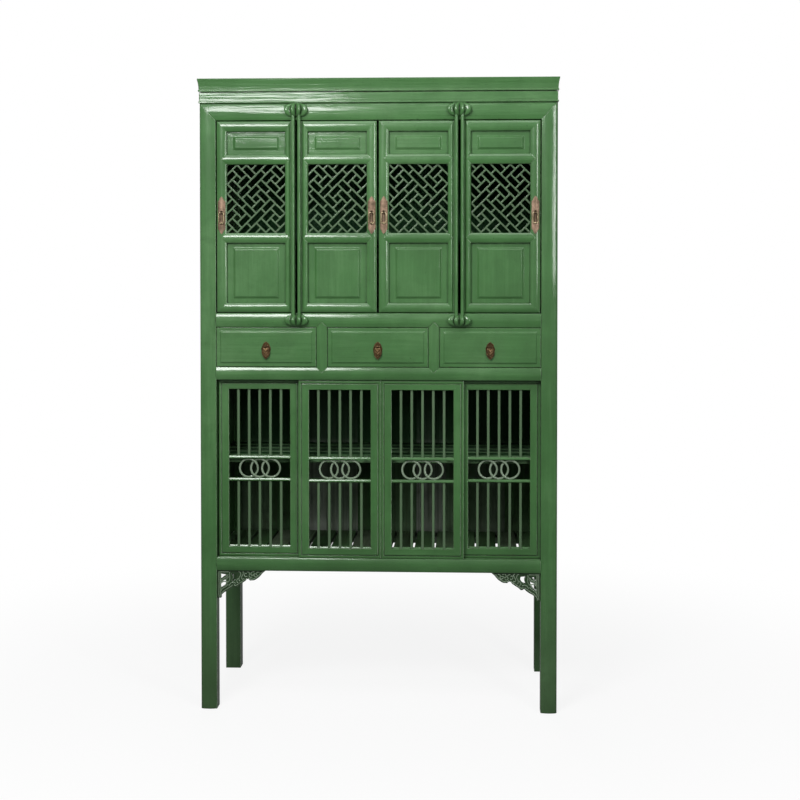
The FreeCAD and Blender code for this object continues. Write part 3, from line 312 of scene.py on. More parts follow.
class Finish(Nodes):
    """A material in the object's own coordinates."""

    def __init__(self, name):
        self.material = bpy.data.materials.new(name)
        self.material.use_nodes = True
        super().__init__(self.material.node_tree)
        self.coords = self.node("ShaderNodeTexCoord").outputs["Object"]

    def noise(self, vector, scale, detail=3.0, rough=0.5, bend=0.0):
        made = self.fed("ShaderNodeTexNoise", Vector=vector, Scale=scale, Detail=detail, Roughness=rough,
                        Distortion=bend)
        return made.outputs["Fac"]

    def grain(self, axis, along, across, **noise):
        """Noise drawn out along an axis, with its scales along and across it."""
        scale = [across, across, across]
        scale[AXES.index(axis)] = along
        drawn = self.fed("ShaderNodeMapping", Vector=self.coords, Scale=scale)
        return self.noise(drawn.outputs["Vector"], 1.0, **noise)

    def ramp(self, value, *stops):
        """Colour ramp; a stop is a place and a colour or a grey."""
        made = self.fed("ShaderNodeValToRGB", Fac=value)
        elements = made.color_ramp.elements
        while len(elements) < len(stops):
            elements.new(0.5)
        for element, (place, colour) in zip(elements, stops):
            shade = colour if isinstance(colour, tuple) else (colour, colour, colour)
            element.position = place
            element.color = (*shade, 1.0)
        return made.outputs["Color"]

    def mix(self, factor, first, second):
        made = self.node("ShaderNodeMix", data_type="RGBA")
        self.feed(made.inputs[0], factor)
        self.feed(made.inputs[6], first)
        self.feed(made.inputs[7], second)
        return made.outputs[2]

    def tint(self, colour, other, value, *stops):
        """Lay another colour over the first, as far as a ramp of the value says."""
        return self.mix(self.ramp(value, *stops), colour, other)

    def crevice(self, reach):
        """1 deep in a corner, 0 in the open."""
        made = self.node("ShaderNodeAmbientOcclusion", samples=6)
        self.feed(made.inputs["Distance"], reach)
        return self.minus(1.0, made.outputs["AO"])

    def rounded(self, radius):
        """Normals as if the edges were rounded."""
        made = self.node("ShaderNodeBevel", samples=6)
        self.feed(made.inputs["Radius"], radius)
        return made.outputs["Normal"]

    def edge(self, normal):
        """1 on an edge, 0 on a flat."""
        dot = self.node("ShaderNodeVectorMath", operation="DOT_PRODUCT")
        self.feed(dot.inputs[0], normal)
        self.feed(dot.inputs[1], self.node("ShaderNodeNewGeometry").outputs["Normal"])
        return self.minus(1.0, dot.outputs["Value"])

    def bump(self, height, strength, distance, normal):
        made = self.fed("ShaderNodeBump", Height=height, Strength=strength, Distance=distance, Normal=normal)
        return made.outputs["Normal"]

    def done(self, shader):
        self.fed("ShaderNodeOutputMaterial", Surface=shader)
        return self.material

    def surface(self, **sockets):
        return self.done(self.fed("ShaderNodeBsdfPrincipled", **sockets).outputs[0])


def lacquer(name, axis, dust=0.0, glaze=0.0, ground=0.0, coat=0.75, reach=0.008, ridges=0.45, pitch=300.0,
            pale_band=None, dull_from=None, bare_edges=True):
    """Old green lacquer over wood: brushed, mottled, rubbed pale on edges, with painted shade in corners and
    towards the bottom.

    dust lays a pale film over it, and ground a dark one: grime on the lattice, painted shade on the
    spandrel ground. glaze and reach widen the painted shade in corners. ridges and pitch give the
    height and the spacing of the brush marks. pale_band is a painted sheen between two heights, and what is
    above dull_from is duller, its colour darkened as painted shade. bare_edges paints highlights
    on the right-hand edges.
    """
    f = Finish(name)
    cloud = f.noise(f.coords, 3.1, detail=3.0, rough=0.55)
    blotch = f.noise(f.coords, 17.0, detail=6.0, rough=0.62, bend=0.4)
    patch = f.noise(f.coords, 46.0, detail=5.0, rough=0.65)
    speck = f.noise(f.coords, 210.0, detail=3.0, rough=0.6)
    brush = f.grain(axis, along=5.0, across=95.0, detail=5.0, rough=0.6, bend=0.3)
    marks = f.grain(axis, along=5.0, across=pitch, detail=2.0, rough=0.5, bend=0.2)
    up = f.split(f.coords)["Z"]
    colour = f.ramp(cloud, (0.28, GREEN_DEEP), (0.5, GREEN), (0.76, GREEN_PALE))
    colour = f.tint(colour, GREEN_DEEP, blotch, (0.42, 0.0), (0.72, 0.55))
    colour = f.tint(colour, GREEN_DEEP, brush, (0.28, 0.42), (0.58, 0.0))
    colour = f.tint(colour, GREEN_PALE, brush, (0.55, 0.0), (0.78, 0.34))
    colour = f.tint(colour, GLAZE, speck, (0.66, 0.0), (0.72, 0.5))
    if dust:
        colour = f.tint(colour, DUST, patch, (0.3, dust * 0.7), (0.7, dust))
    # A dark film over patches: grime on the lattice, painted shade over the spandrel ground
    if ground:
        colour = f.tint(colour, GLAZE, patch, (0.3, ground * 0.75), (0.7, ground))
    # Painted sheen: a pale band between two heights
    if pale_band:
        low, high = pale_band
        colour = f.tint(colour, PALE_RING, up, (low, 0.0), (low + BAND_FADE, BAND_SHARE),
                        (high - BAND_FADE, BAND_SHARE), (high, 0.0))
    # Above this height: less coat, and the colour darkened as painted shade
    if dull_from:
        start = dull_from * OVER_2_M
        dull = f.ramp(f.times(up, OVER_2_M), (start - 0.001, 0.0), (start, 1.0))
        colour = f.mix(f.times(dull, 0.4), colour, GREEN_DEEP)
        coat = f.minus(coat, f.times(dull, coat * 0.75))
    # Painted shade: darker towards the bottom, fading out by 0.42 m
    colour = f.tint(colour, GRIME, up, (0.0, 0.5), (0.42, 0.0))
    normal = f.rounded(0.0022)
    edge = f.edge(normal)
    rubbed = f.times(f.ramp(edge, (0.01, 0.0), (0.12, 1.0)), f.ramp(patch, (0.38, 0.15), (0.62, 0.75)))
    colour = f.mix(rubbed, colour, WORN)
    # Painted highlight: right-facing edges painted pale, as a lamp at the right would light them
    if bare_edges:
        lean = f.split(normal)["X"]
        bare = f.times(f.ramp(edge, (0.01, 0.0), (0.08, 1.0)),
                       f.ramp(lean, (0.12, 0.0), (0.40, 1.0), (0.85, 1.0), (0.97, 0.0)))
        bare = f.times(bare, f.ramp(patch, (0.36, 0.45), (0.60, 0.95)))
        colour = f.mix(bare, colour, BARE_EDGE)
    chipped = f.times(f.ramp(f.edge(f.rounded(0.005)), (0.02, 0.0), (0.1, 1.0)),
                      f.ramp(patch, (0.6, 0.0), (0.68, 0.85)))
    colour = f.mix(chipped, colour, UNDERCOAT)
    # Painted shade: ambient occlusion darkens corners, grooves and recesses towards the dark glaze colour
    stain = f.times(f.ramp(f.crevice(reach), (0.40 - glaze, 0.0), (0.80 - glaze, 1.0)),
                    f.ramp(blotch, (0.25, 0.6), (0.6, 0.98)))
    colour = f.mix(stain, colour, GLAZE)
    rough = f.plus(f.ramp(blotch, (0.3, 0.40), (0.75, 0.54)), f.times(stain, 0.3))
    height = f.plus(f.times(brush, 0.7), f.times(patch, 0.5))
    height = f.plus(height, f.times(marks, ridges))
    wave = f.bump(height, 0.5, 0.0008, normal)
    return f.surface(Base_Color=colour, Roughness=rough, Specular_IOR_Level=0.20, Coat_Weight=coat,
                     Coat_Roughness=f.ramp(brush, (0.35, 0.05), (0.7, 0.17)), Normal=wave, Coat_Normal=wave)


def inner_wood(name, axis, across="X", start=-X_IN * MM, pitch=PLANK_PITCH * MM, front=0.0, pale=BOARD_PALE):
    """Old boards of the inside: a green cast, deep green darkened as painted shade above the slatted shelf,
    painted shade in corners, weathered on the back.

    Each board has its own tone: they are counted across an axis from start, a pitch wide. front is the
    share of a board with a painted highlight on its front edge; the rest of its top gets painted shade.
    """
    f = Finish(name)
    place = f.split(f.coords)
    count = f.calc("DIVIDE", f.minus(place[across], start), pitch)
    pick = f.node("ShaderNodeTexWhiteNoise", noise_dimensions="1D")
    f.feed(pick.inputs["W"], f.calc("FLOOR", count))
    tone = pick.outputs["Value"]
    cloud = f.noise(f.coords, 4.0, detail=3.0)
    stain = f.noise(f.coords, 11.0, detail=5.0, rough=0.6)
    fibre = f.grain(axis, along=3.0, across=120.0, detail=6.0, rough=0.65, bend=0.6)
    colour = f.ramp(tone, (0.2, BOARD_DARK), (0.5, BOARD_GREEN), (0.85, pale))
    colour = f.tint(colour, BOARD_FIBRE, fibre, (0.35, 0.7), (0.6, 0.0))
    colour = f.tint(colour, BOARD_CLOUD, cloud, (0.45, 0.0), (0.75, 0.5))
    colour = f.tint(colour, BOARD_STAIN, stain, (0.55, 0.0), (0.8, 0.7))
    # Painted highlight on each slat's front edge, and painted shade on the rest of its top
    if front:
        within = f.calc("FRACT", count)
        colour = f.tint(colour, SLAT_TOP, within, (front, 0.0), (front + 0.06, 0.85))
        colour = f.tint(colour, SLAT_FRONT, within, (front * 0.8, 0.7), (front, 0.0))
    # Green cast darkened as painted shade above the slatted shelf, darkest in the upper cupboard
    colour = f.tint(colour, UPPER_GREEN, f.times(place["Z"], OVER_2_M),
                    (0.345, 0.0), (0.362, 0.85), (0.54, 0.85), (0.57, 0.97))
    weather = f.ramp(fibre, (0.32, BACK_DARK), (0.55, BACK_WOOD), (0.75, BACK_PALE))
    weather = f.tint(weather, BACK_STAIN, stain, (0.5, 0.0), (0.78, 0.6))
    if axis == "Z":
        weather = f.tint(weather, PLANK_TONE, tone, (0.1, 0.55), (0.9, 0.0))
        weather = f.tint(weather, PLANK_SEAM, f.calc("FRACT", count),
                         (0.0, 0.9), (0.02, 0.0), (0.98, 0.0), (1.0, 0.9))
    colour = f.tint(colour, weather, f.times(place["Y"], OVER_25_CM), (0.905, 0.0), (0.915, 1.0))
    # Painted shade: ambient occlusion darkens the corners
    colour = f.mix(f.times(f.crevice(0.02), 0.7), colour, BOARD_CORNER)
    wave = f.bump(fibre, 0.5, 0.0009, f.rounded(0.0015))
    rough = f.ramp(fibre, (0.3, 0.78), (0.7, 0.58))
    return f.surface(Base_Color=colour, Roughness=rough, Specular_IOR_Level=0.25, Normal=wave)


def under_pulls(f):
    """Painted shade on the plate behind each door pull: 1 in the eye hole above it and a share inside its loop.
    """
    place = f.split(f.coords)
    pair = f.apart(f.calc("ABSOLUTE", place["X"]), PAIRS_X[1] * MM)
    across = f.apart(pair, (PULLS_X[3] - PAIRS_X[1]) * MM)
    above_eye = f.minus(place["Z"], EYE_Z * MM)
    away = f.calc("SQRT", f.plus(f.times(across, across), f.times(above_eye, above_eye)))
    eye = f.ramp(f.times(away, OVER_1_CM), (0.30, 1.0), (0.42, 0.0))
    down = f.ramp(f.times(above_eye, -OVER_5_CM), (0.12, 0.0), (0.2, 0.5), (0.52, 0.5), (0.58, 0.0))
    loop = f.times(down, f.ramp(f.times(across, OVER_1_CM), (0.40, 1.0), (0.56, 0.0)))
    return f.calc("MAXIMUM", eye, loop)


def old_metal(name, low, middle, high, polish, rough, pulls=False):
    """Worn sheet metal: patina in corners, colour in clouds, bright rubbed edges, small dents.

    pulls adds painted shade on the plate behind the door pulls: in their eye holes and inside their loops.
    """
    f = Finish(name)
    cloud = f.noise(f.coords, 60.0, detail=5.0, rough=0.6, bend=0.5)
    fine = f.noise(f.coords, 420.0, detail=4.0, rough=0.6)
    strokes = f.grain("Z", along=60.0, across=900.0, detail=3.0)
    normal = f.rounded(0.0008)
    colour = f.ramp(cloud, (0.3, low), (0.52, middle), (0.72, high))
    colour = f.tint(colour, low, fine, (0.55, 0.0), (0.7, 0.6))
    colour = f.mix(f.times(f.ramp(f.edge(normal), (0.01, 0.0), (0.12, 1.0)), 0.75), colour, polish)
    colour = f.tint(colour, tuple(c * 0.25 for c in low), f.crevice(0.005), (0.3, 0.0), (0.9, 0.9))
    # Painted shade in the eye holes and inside the loops of the door pulls
    if pulls:
        colour = f.mix(under_pulls(f), colour, PULL_SHADE)
    wave = f.bump(f.plus(cloud, f.times(strokes, 0.3)), 0.3, 0.0005, normal)
    return f.surface(Base_Color=colour, Metallic=0.75, Specular_IOR_Level=0.4, Normal=wave,
                     Roughness=f.ramp(fine, (0.3, rough - 0.1), (0.7, rough + 0.12)))


def by_axis(make, name, **looks):
    """One finish for each direction of the grain."""
    return {axis: make(f"{name}_{axis.lower()}", axis, **looks) for axis in AXES}


LACQUER = by_axis(lacquer, "green_lacquer")
DUSTY = by_axis(lacquer, "dusty_lacquer", dust=0.5, ground=0.24, bare_edges=False)
# Crown above 1.771 m darkened as painted shade, with more painted shade in corners
CAP = by_axis(lacquer, "cap_lacquer", glaze=0.1, coat=0.6, ridges=2.6, pitch=130.0, dull_from=1.771)
# Grille: the pale band is a painted sheen on the woven rings
GRILLE = lacquer("grille_lacquer", "Z", dust=0.6, pale_band=(0.658, 0.720), bare_edges=False)
# Lotus buds: more and wider painted shade deep in the grooves between lobes
CARVED = lacquer("carved_lacquer", "X", glaze=0.25, reach=0.014)
# Spandrel ground darkened all over as painted shade, with more painted shade in its corners
GROUND = lacquer("carved_ground", "X", glaze=0.1, ground=0.78)
# Scrolls: the pale band is a painted sheen over the whole carving
SCROLLS = lacquer("scroll_lacquer", "X", dust=0.25, reach=0.003, pale_band=(0.30, 0.42))
WOOD = by_axis(inner_wood, "inner_wood")
SHELF_WOOD = inner_wood("inner_wood_shelf", "X", across="Y", start=-0.178, pitch=0.0796, front=0.3,
                        pale=(0.290, 0.350, 0.270))
FLOOR_WOOD = inner_wood("inner_wood_floor", "Y", across="X", start=-0.466, pitch=0.0621429,
                        pale=(0.105, 0.140, 0.090))
BRASS = old_metal("aged_brass", low=(0.105, 0.076, 0.048), middle=(0.235, 0.158, 0.108),
                  high=(0.330, 0.226, 0.160), polish=(0.40, 0.31, 0.22), rough=0.48, pulls=True)
WIRE = old_metal("pull_brass", low=(0.230, 0.180, 0.095), middle=(0.430, 0.350, 0.205),
                 high=(0.600, 0.500, 0.320), polish=(0.72, 0.62, 0.42), rough=0.36)
BROWN = old_metal("brown_brass", low=(0.040, 0.022, 0.009), middle=(0.105, 0.062, 0.026),
                  high=(0.190, 0.115, 0.055), polish=(0.42, 0.28, 0.16), rough=0.34)


def shading_group():
    """Smooth shading with sharp creases kept, as a modifier."""
    group = bpy.data.node_groups.new("crease_shading", "GeometryNodeTree")
    for way in ("INPUT", "OUTPUT"):
        group.interface.new_socket("Geometry", in_out=way, socket_type="NodeSocketGeometry")
    g = Nodes(group)
    start = g.node("NodeGroupInput")
    clean = g.fed("GeometryNodeRemoveAttribute", Geometry=start.outputs[0], Name="custom_normal")
    faces = g.fed("GeometryNodeSetShadeSmooth", Geometry=clean.outputs["Geometry"])
    gentle = g.node("FunctionNodeCompare", data_type="FLOAT", operation="LESS_THAN")
    g.feed(gentle.inputs[0], g.node("GeometryNodeInputMeshEdgeAngle").outputs["Unsigned Angle"])
    g.feed(gentle.inputs[1], CREASE)
    paired = g.node("FunctionNodeCompare", data_type="INT", operation="EQUAL")
    whole = [socket for socket in paired.inputs if socket.type == "INT"]
    g.feed(whole[0], g.node("GeometryNodeInputMeshEdgeNeighbors").outputs["Face Count"])
    g.feed(whole[1], 2)
    both = g.node("FunctionNodeBooleanMath", operation="AND")
    g.feed(both.inputs[0], gentle.outputs["Result"])
    g.feed(both.inputs[1], paired.outputs["Result"])
    edges = g.node("GeometryNodeSetShadeSmooth", domain="EDGE")
    g.feed(edges.inputs["Geometry"], faces.outputs["Geometry"])
    g.feed(edges.inputs["Shade Smooth"], both.outputs["Boolean"])
    g.feed(g.node("NodeGroupOutput").inputs[0], edges.outputs["Geometry"])
    return group


SHADING = shading_group()


def soften(piece, width):
    """Join the faces, ease the edges and shade smooth, all as modifiers."""
    weld = piece.modifiers.new("joined_faces", "WELD")
    weld.merge_threshold = WELD_GAP
    if width:
        bevel = piece.modifiers.new("eased_edges", "BEVEL")
        bevel.width = width * MM
        bevel.segments = 2
        bevel.limit_method = "ANGLE"
        bevel.angle_limit = EASED_FROM
        bevel.use_clamp_overlap = True
    piece.modifiers.new("shading", "NODES").node_group = SHADING
    if width:
        even = piece.modifiers.new("even_flats", "WEIGHTED_NORMAL")
        even.keep_sharp = True
        even.weight = 80


def face_axes(mesh, fixed):
    """Grain axis of each polygon: the longest side of the face that it belongs to."""
    if fixed:
        return [fixed] * len(mesh.polygons)
    parent = list(range(len(mesh.vertices)))

    def root(i):
        while parent[i] != i:
            parent[i] = parent[parent[i]]
            i = parent[i]
        return i

    for polygon in mesh.polygons:
        first = root(polygon.vertices[0])
        for other in polygon.vertices[1:]:
            parent[root(other)] = first
    boxes = {}
    for vertex in mesh.vertices:
        low, high = boxes.setdefault(root(vertex.index), (list(vertex.co), list(vertex.co)))
        for k in range(3):
            low[k] = min(low[k], vertex.co[k])
            high[k] = max(high[k], vertex.co[k])
    axes = {}
    for key, (low, high) in boxes.items():
        sides = [high[k] - low[k] for k in range(3)]
        axes[key] = AXES[sides.index(max(sides))]
    return [axes[root(polygon.vertices[0])] for polygon in mesh.polygons]


def dress(node, finish, width=0.0, fixed=None):
    """Give a CAD node its finish, with the grain along each of its faces or one axis, and eased edges."""
    piece = NODES[node]
    mesh = piece.data
    mesh.materials.clear()
    if isinstance(finish, dict):
        for axis in AXES:
            mesh.materials.append(finish[axis])
        places = [AXES.index(axis) for axis in face_axes(mesh, fixed)]
    else:
        mesh.materials.append(finish)
        places = [0] * len(mesh.polygons)
    mesh.polygons.foreach_set("material_index", places)
    soften(piece, width)


def circle(radius, steps):
    return [(radius * math.cos(2 * math.pi * i / steps), radius * math.sin(2 * math.pi * i / steps))
            for i in range(steps)]


def rounded_corners(across, along, radius, turns):
    """Outline of a rectangle between two pairs of values, through these degrees of each rounded corner."""
    outline = []
    for ca, cb, start in ((across[1], along[1], 0), (across[0], along[1], 90),
                          (across[0], along[0], 180), (across[1], along[0], 270)):
        sa = radius if ca == across[0] else -radius
        sb = radius if cb == along[0] else -radius
        for turn in turns:
            angle = math.radians(start + turn)
            outline.append((ca + sa + radius * math.cos(angle), cb + sb + radius * math.sin(angle)))
    return outline


def flowing(points, steps):
    """Smooth path through plane points."""
    last = len(points) - 1
    path = []
    for i in range(last):
        around = [points[max(0, min(last, k))] for k in (i - 1, i, i + 1, i + 2)]
        for s in range(steps):
            t = s / steps
            path.append(tuple(0.5 * (2 * b + (c - a) * t + (2 * a - 5 * b + 4 * c - d) * t * t
                                     + (3 * b - a - 3 * c + d) * t ** 3)
                              for a, b, c, d in zip(*around)))
    path.append(tuple(points[-1]))
    return path


class Shape:
    """Vertices, in millimetres, and faces gathered from several forms."""

    def __init__(self):
        self.verts = []
        self.faces = []

    def grid(self, rows, closed=False, round_rows=False):
        """Skin over rows of points; closed joins each row's ends, round_rows the last row to the first."""
        base = len(self.verts)
        count = len(rows[0])
        for row in rows:
            self.verts.extend(row)
        for j in range(len(rows) if round_rows else len(rows) - 1):
            k = (j + 1) % len(rows)
            for i in range(count if closed else count - 1):
                n = (i + 1) % count
                self.faces.append((base + j * count + i, base + j * count + n,
                                   base + k * count + n, base + k * count + i))
        return base

    def prism(self, rows):
        """Skin over closed rows, with a face at each end."""
        count = len(rows[0])
        base = self.grid(rows, closed=True)
        for start in (base, base + (len(rows) - 1) * count):
            self.faces.append(tuple(range(start, start + count)))

    def sweep(self, path, section, closed):
        """Carry a section (across, outward) along a path of (x, y, z) in an upright plane."""
        rows = []
        for i, (x, y, z) in enumerate(path):
            if closed:
                before, after = path[i - 1], path[(i + 1) % len(path)]
            else:
                before, after = path[max(i - 1, 0)], path[min(i + 1, len(path) - 1)]
            dx, dz = after[0] - before[0], after[2] - before[2]
            size = math.hypot(dx, dz) or 1.0
            nx, nz = -dz / size, dx / size
            rows.append([(x + nx * a, y - b, z + nz * a) for a, b in section])
        if closed:
            self.grid(rows, closed=True, round_rows=True)
        else:
            self.prism(rows)

    def eased_bar(self, x, y, z, ease):
        """Upright bar with eased long edges."""
        outline = rounded_corners(x, y, ease, (0, 45, 90))
        self.prism([[(px, py, level) for px, py in outline] for level in z])

    def mesh(self, name):
        made = bpy.data.meshes.new(name)
        made.from_pydata([tuple(c * MM for c in v) for v in self.verts], [], self.faces)
        return made


def linked(name, data):
    """A new object in the scene."""
    made = bpy.data.objects.new(name, data)
    bpy.context.scene.collection.objects.link(made)
    return made


def new_piece(name, shape, body, slot, finish, *nodes):
    """A made piece that rides on a body and may stand for CAD nodes."""
    mesh = shape.mesh(name)
    mesh.update()
    tidy = bmesh.new()
    tidy.from_mesh(mesh)
    bmesh.ops.remove_doubles(tidy, verts=tidy.verts, dist=DOUBLE_GAP)
    bmesh.ops.recalc_face_normals(tidy, faces=tidy.faces)
    tidy.to_mesh(mesh)
    tidy.free()
    mesh.materials.append(finish)
    piece = linked(name, mesh)
    piece.modifiers.new("shading", "NODES").node_group = SHADING
    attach(piece, body)
    if nodes:
        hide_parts(*nodes)
    return piece


def drilled(piece, holes):
    """Cut round upright sockets (x, y, z low, z high) out of a piece."""
    shape = Shape()
    for x, y, low, high in holes:
        ring = circle(SOCKET_RADIUS, SOCKET_STEPS)
        shape.prism([[(x + a, y + b, z) for a, b in ring] for z in (low, high)])
    mesh = shape.mesh("sockets")
    tool = linked("sockets", mesh)
    cut = piece.modifiers.new("sockets", "BOOLEAN")
    cut.object = tool
    cut.solver = "EXACT"
    piece.modifiers["shading"].show_viewport = False
    bpy.context.view_layer.update()
    result = bpy.data.meshes.new_from_object(piece.evaluated_get(bpy.context.evaluated_depsgraph_get()))
    piece.modifiers["shading"].show_viewport = True
    piece.modifiers.remove(cut)
    piece.data = result
    bpy.data.objects.remove(tool)
    bpy.data.meshes.remove(mesh)


def lotus_blocks():
    """Carved lotus buds that hold the door pivots, four lobes each with a lip of sepals."""
    shape = Shape()
    sockets = []
    count = LOTUS_STEPS + 1
    for cx in PAIRS_X:
        for low, high, blind, open_side in LOTUS:
            cz = (low + high) / 2
            rows = []
            for j in range(LOTUS_RINGS + 1):
                lat = -math.pi / 2 + math.pi * j / LOTUS_RINGS
                row = []
                for i in range(count):
                    turn = math.pi * i / LOTUS_STEPS
                    lobe = abs(math.sin(2 * math.pi * math.cos(turn))) ** 0.8
                    lip = math.exp(-((lat * open_side - LIP_AT) / LIP_WIDTH) ** 2)
                    size = 1 - LOBE_CUT * (1 - lobe) * math.cos(lat) ** 0.4 + LIP * lip - LIP
                    flat = math.cos(lat) ** 0.8 * size
                    row.append((cx + LOTUS_HALF * flat * math.cos(turn),
                                LOTUS_BACK - LOTUS_PROUD * flat * math.sin(turn),
                                cz + (high - low) / 2 * math.sin(lat)))
                rows.append(row)
            base = shape.grid(rows)
            up = [base + j * count for j in range(LOTUS_RINGS + 1)]
            down = [base + j * count + LOTUS_STEPS for j in range(LOTUS_RINGS - 1, 0, -1)]
            shape.faces.append(tuple(up + down))
            ends = (blind, high + SOCKET_OPEN) if open_side > 0 else (low - SOCKET_OPEN, blind)
            sockets += [(x, PIVOT_Y, *ends) for x in PIVOTS_X if abs(x - cx) < PAIR_NEAR]
    piece = new_piece("lotus_buds", shape, "carcass", "green_lacquer", CARVED, "lotus_blocks")
    drilled(piece, sockets)


def woven_grille(number):
    """Eased bars and three rings woven through each other."""
    cx = SLIDES_X[number - 1]
    face = SLIDE_FACES[number - 1] + BAR_SET
    shape = Shape()
    for i in range(BARS):
        x = cx + (i - BARS // 2) * BAR_PITCH
        for z in BAR_SPANS:
            shape.eased_bar((x - BAR_HALF, x + BAR_HALF), (face, face + BAR_THICK), z, BAR_EASE)
    for ring in (-1, 0, 1):
        path = []
        for i in range(RING_STEPS):
            turn = 2 * math.pi * i / RING_STEPS
            path.append((cx + RING_PITCH * ring + RING_RADIUS * math.cos(turn),
                         face + BAR_THICK / 2 - RING_WEAVE * math.sin(2 * turn),
                         RINGS_Z + RING_RADIUS * math.sin(turn)))
        shape.sweep(path, RING_SECTION, True)
    new_piece(f"woven_grille_{number}", shape, f"sliding_door_{number}", "green_lacquer", GRILLE,
              f"sliding_door_{number}_grille")


def plank_seams():
    """Dirt that has filled the seams between the back planks."""
    shape = Shape()
    for seam in range(1, PLANKS):
        x = -X_IN + seam * PLANK_PITCH
        for bay in SEAM_BAYS:
            shape.eased_bar((x - SEAM_HALF, x + SEAM_HALF), SEAM_Y, bay, SEAM_EASE)
    new_piece("plank_seams", shape, "carcass", "inner_wood", WOOD["Z"])


def rail_beads(number):
    """Rounded noses on the middle rails of a sliding door and a bead along the foot of its opening."""
    cx = SLIDES_X[number - 1]
    face = SLIDE_FACES[number - 1]
    shape = Shape()
    for section in [[(y, level + z) for y, z in NOSE] for level in NOSE_LEVELS] + [SILL]:
        shape.prism([[(cx + end * BEAD_HALF, face + y, z) for y, z in section] for end in (-1, 1)])
    new_piece(f"rail_beads_{number}", shape, f"sliding_door_{number}", "green_lacquer", LACQUER["X"])


def ring_pull(number):
    """Hanging loop of round wire with a bead at its foot."""
    cx = PULLS_X[number - 1]
    shape = Shape()
    loop = rounded_corners((cx - PULL_HALF, cx + PULL_HALF), (PULL_FOOT, PULL_TOP), PULL_CORNER,
                           range(0, 91, 15))
    shape.sweep([(x, PULL_Y, z) for x, z in loop], circle(PULL_WIRE, 12), True)
    rows = []
    for i in range(13):
        a = math.pi * i / 12
        radius = PULL_BEAD * math.sin(a)
        rows.append([(cx - PULL_BEAD_HALF * math.cos(a), PULL_Y + radius * c, PULL_FOOT + radius * s)
                     for c, s in circle(1.0, 14)])
    shape.grid(rows, closed=True)
    new_piece(f"ring_pull_{number}", shape, f"upper_door_{number}_ring", "aged_brass", WIRE,
              f"upper_door_{number}_pull")


def leaf_relief(number):
    """Raised leaf on the face of a drawer drop: rim, midrib and veins."""
    cx = DRAWERS_X[number - 1]
    shape = Shape()
    rows = []
    for j in range(LEAF_ROWS + 1):
        t = j / LEAF_ROWS
        half = LEAF_HALF * math.sin(math.pi * (0.16 + 0.84 * t) ** 0.8) ** 0.75 if t < 1 else 0.0
        row = []
        for i in range(LEAF_STEPS + 1):
            s = -1 + 2 * i / LEAF_STEPS
            dome = 1.5 * (1 - s * s) ** 0.6
            rib = 0.7 * math.exp(-(s / 0.09) ** 2)
            vein = 0.3 * math.cos(22 * (t + 0.35 * abs(s))) * (1 - s * s)
            rim = 0.5 * math.exp(-((abs(s) - 0.88) / 0.07) ** 2)
            rise = 0.0 if abs(s) == 1 else dome + rib + vein + rim
            row.append((cx + half * s, LEAF_Y - rise * math.sin(math.pi * t) ** 0.35,
                        LEAF_TOP - LEAF_LENGTH * t))
        rows.append(row)
    shape.grid(rows)
    new_piece(f"leaf_relief_{number}", shape, f"drawer_{number}_drop", "brown_brass", BROWN)


def carving(side):
    """Raised scrolls over the face of a spandrel: u runs from the post, v down from the rail."""
    bead = [(SCROLL_HALF * math.cos(a), SCROLL_RISE * math.sin(a)) for a in [math.pi * k / 6 for k in range(7)]]
    bead += [(-SCROLL_HALF, -SCROLL_SINK), (SCROLL_HALF, -SCROLL_SINK)]
    shape = Shape()
    for stroke in STROKES:
        points = [(side * (X_IN - u), Z_BOTTOM - v) for u, v in stroke]
        shape.sweep([(x, FRONT + SCROLL_SET, z) for x, z in flowing(points, SCROLL_STEPS)], bead, False)
    name = "scroll_carving_right" if side > 0 else "scroll_carving_left"
    new_piece(name, shape, "carcass", "green_lacquer", SCROLLS)


def light(name, place, aim, size, power):
    lamp = bpy.data.lights.new(name, "AREA")
    lamp.shape = "RECTANGLE"
    lamp.size, lamp.size_y = size
    lamp.energy = power
    stand = linked(name, lamp)
    stand.location = place
    stand.rotation_euler = (Vector(aim) - Vector(place)).to_track_quat("-Z", "Y").to_euler()


def surroundings():
    """White to the camera, in reflections white behind and dim in front, and a faint fill light."""
    world = bpy.data.worlds.new("studio")
    bpy.context.scene.world = world
    world.use_nodes = True
    w = Nodes(world.node_tree)
    behind = w.split(w.node("ShaderNodeTexCoord").outputs["Generated"])["Y"]
    room = w.eased(behind, 0.2, 0.95, 0.26, 1.0)
    level = w.calc("MAXIMUM", w.node("ShaderNodeLightPath").outputs["Is Camera Ray"], room)
    fill = w.fed("ShaderNodeBackground", Color=SKY, Strength=SKY_LEVEL).outputs[0]
    white = w.fed("ShaderNodeBackground", Color=WHITE, Strength=level).outputs[0]
    w.fed("ShaderNodeOutputWorld", Surface=w.blend(w.seen_directly(), fill, white))


def pale_floor():
    """Floor that keeps a soft shadow near the cabinet and turns white further out."""
    mesh = bpy.data.meshes.new("floor")
    corners = [(x * FLOOR_HALF, y * FLOOR_HALF, 0) for x, y in ((-1, -1), (1, -1), (1, 1), (-1, 1))]
    mesh.from_pydata(corners, [], [(0, 1, 2, 3)])
    floor = linked("floor", mesh)
    f = Finish("pale_floor")
    matt = f.fed("ShaderNodeBsdfDiffuse", Color=FLOOR_GREY).outputs[0]
    pale = f.fed("ShaderNodeBsdfDiffuse", Color=FLOOR_PALE).outputs[0]
    glow = f.fed("ShaderNodeEmission", Color=WHITE, Strength=1.0).outputs[0]
    reach = f.node("ShaderNodeVectorMath", operation="LENGTH")
    f.feed(reach.inputs[0], f.coords)
    white = f.blend(f.eased(reach.outputs["Value"], 0.5, 2.2, 0.86, 1.0), pale, glow)
    mesh.materials.append(f.done(f.blend(f.seen_directly(FLOOR_MIRRORED), matt, white)))


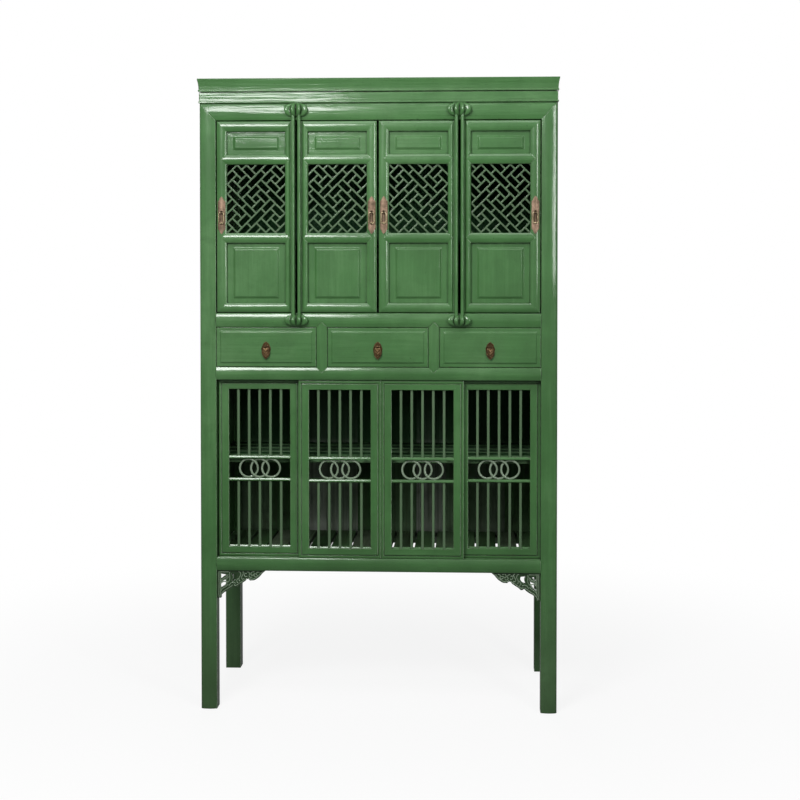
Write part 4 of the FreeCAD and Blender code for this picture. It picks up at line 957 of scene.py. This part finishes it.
def camera():
    data = bpy.data.cameras.new("camera")
    data.sensor_width = CAMERA_SENSOR
    data.lens = CAMERA_LENS
    data.shift_x, data.shift_y = CAMERA_SHIFT
    data.clip_end = CAMERA_REACH
    stand = linked("camera", data)
    stand.location = CAMERA_PLACE
    stand.rotation_euler = (math.radians(CAMERA_TILT), 0.0, math.radians(CAMERA_TURN))
    bpy.context.scene.camera = stand


# Finishes of the CAD nodes, and the made pieces
for node in ("front_posts", "rear_posts", "top_board", "door_rail", "drawer_rail", "bottom_rail",
             "side_rails", "drawer_dividers"):
    dress(node, LACQUER, EASE_CASE)
for node in ("cornice", "top_rail"):
    dress(node, CAP, EASE_FRAME)
dress("side_panels", LACQUER, EASE_PANEL, "Z")
dress("spandrels", GROUND, EASE_PANEL)
dress("lotus_blocks", CARVED)
for node in ("rear_rails", "back_planks", "inner_floors", "cupboard_shelf", "inner_battens"):
    dress(node, WOOD, EASE_FRAME)
dress("slatted_shelf", SHELF_WOOD, EASE_FRAME)
dress("floor_slats", FLOOR_WOOD, EASE_FRAME)
plank_seams()
for n in (1, 2, 3, 4):
    dress(f"upper_door_{n}_frame", LACQUER, EASE_FRAME)
    dress(f"upper_door_{n}_panels", LACQUER, EASE_PANEL)
    dress(f"upper_door_{n}_lattice", DUSTY, EASE_STRIP)
    dress(f"upper_door_{n}_plate", BRASS, EASE_PLATE)
    dress(f"upper_door_{n}_pull", BRASS)
    dress(f"sliding_door_{n}_frame", LACQUER, EASE_FRAME)
    dress(f"sliding_door_{n}_grille", LACQUER, fixed="Z")
    woven_grille(n)
    rail_beads(n)
    ring_pull(n)
for n in (1, 2, 3):
    dress(f"drawer_{n}_front", LACQUER, EASE_FRAME, "X")
    dress(f"drawer_{n}_box", WOOD, EASE_STRIP)
    dress(f"drawer_{n}_plate", BROWN, EASE_PLATE)
    dress(f"drawer_{n}_pull", BROWN, EASE_DROP)
    leaf_relief(n)
lotus_blocks()
carving(1)
carving(-1)

# Studio and camera
surroundings()
pale_floor()
for lamp in LAMPS:
    light(*lamp)
camera()
bpy.context.scene.view_settings.view_transform = "Standard"
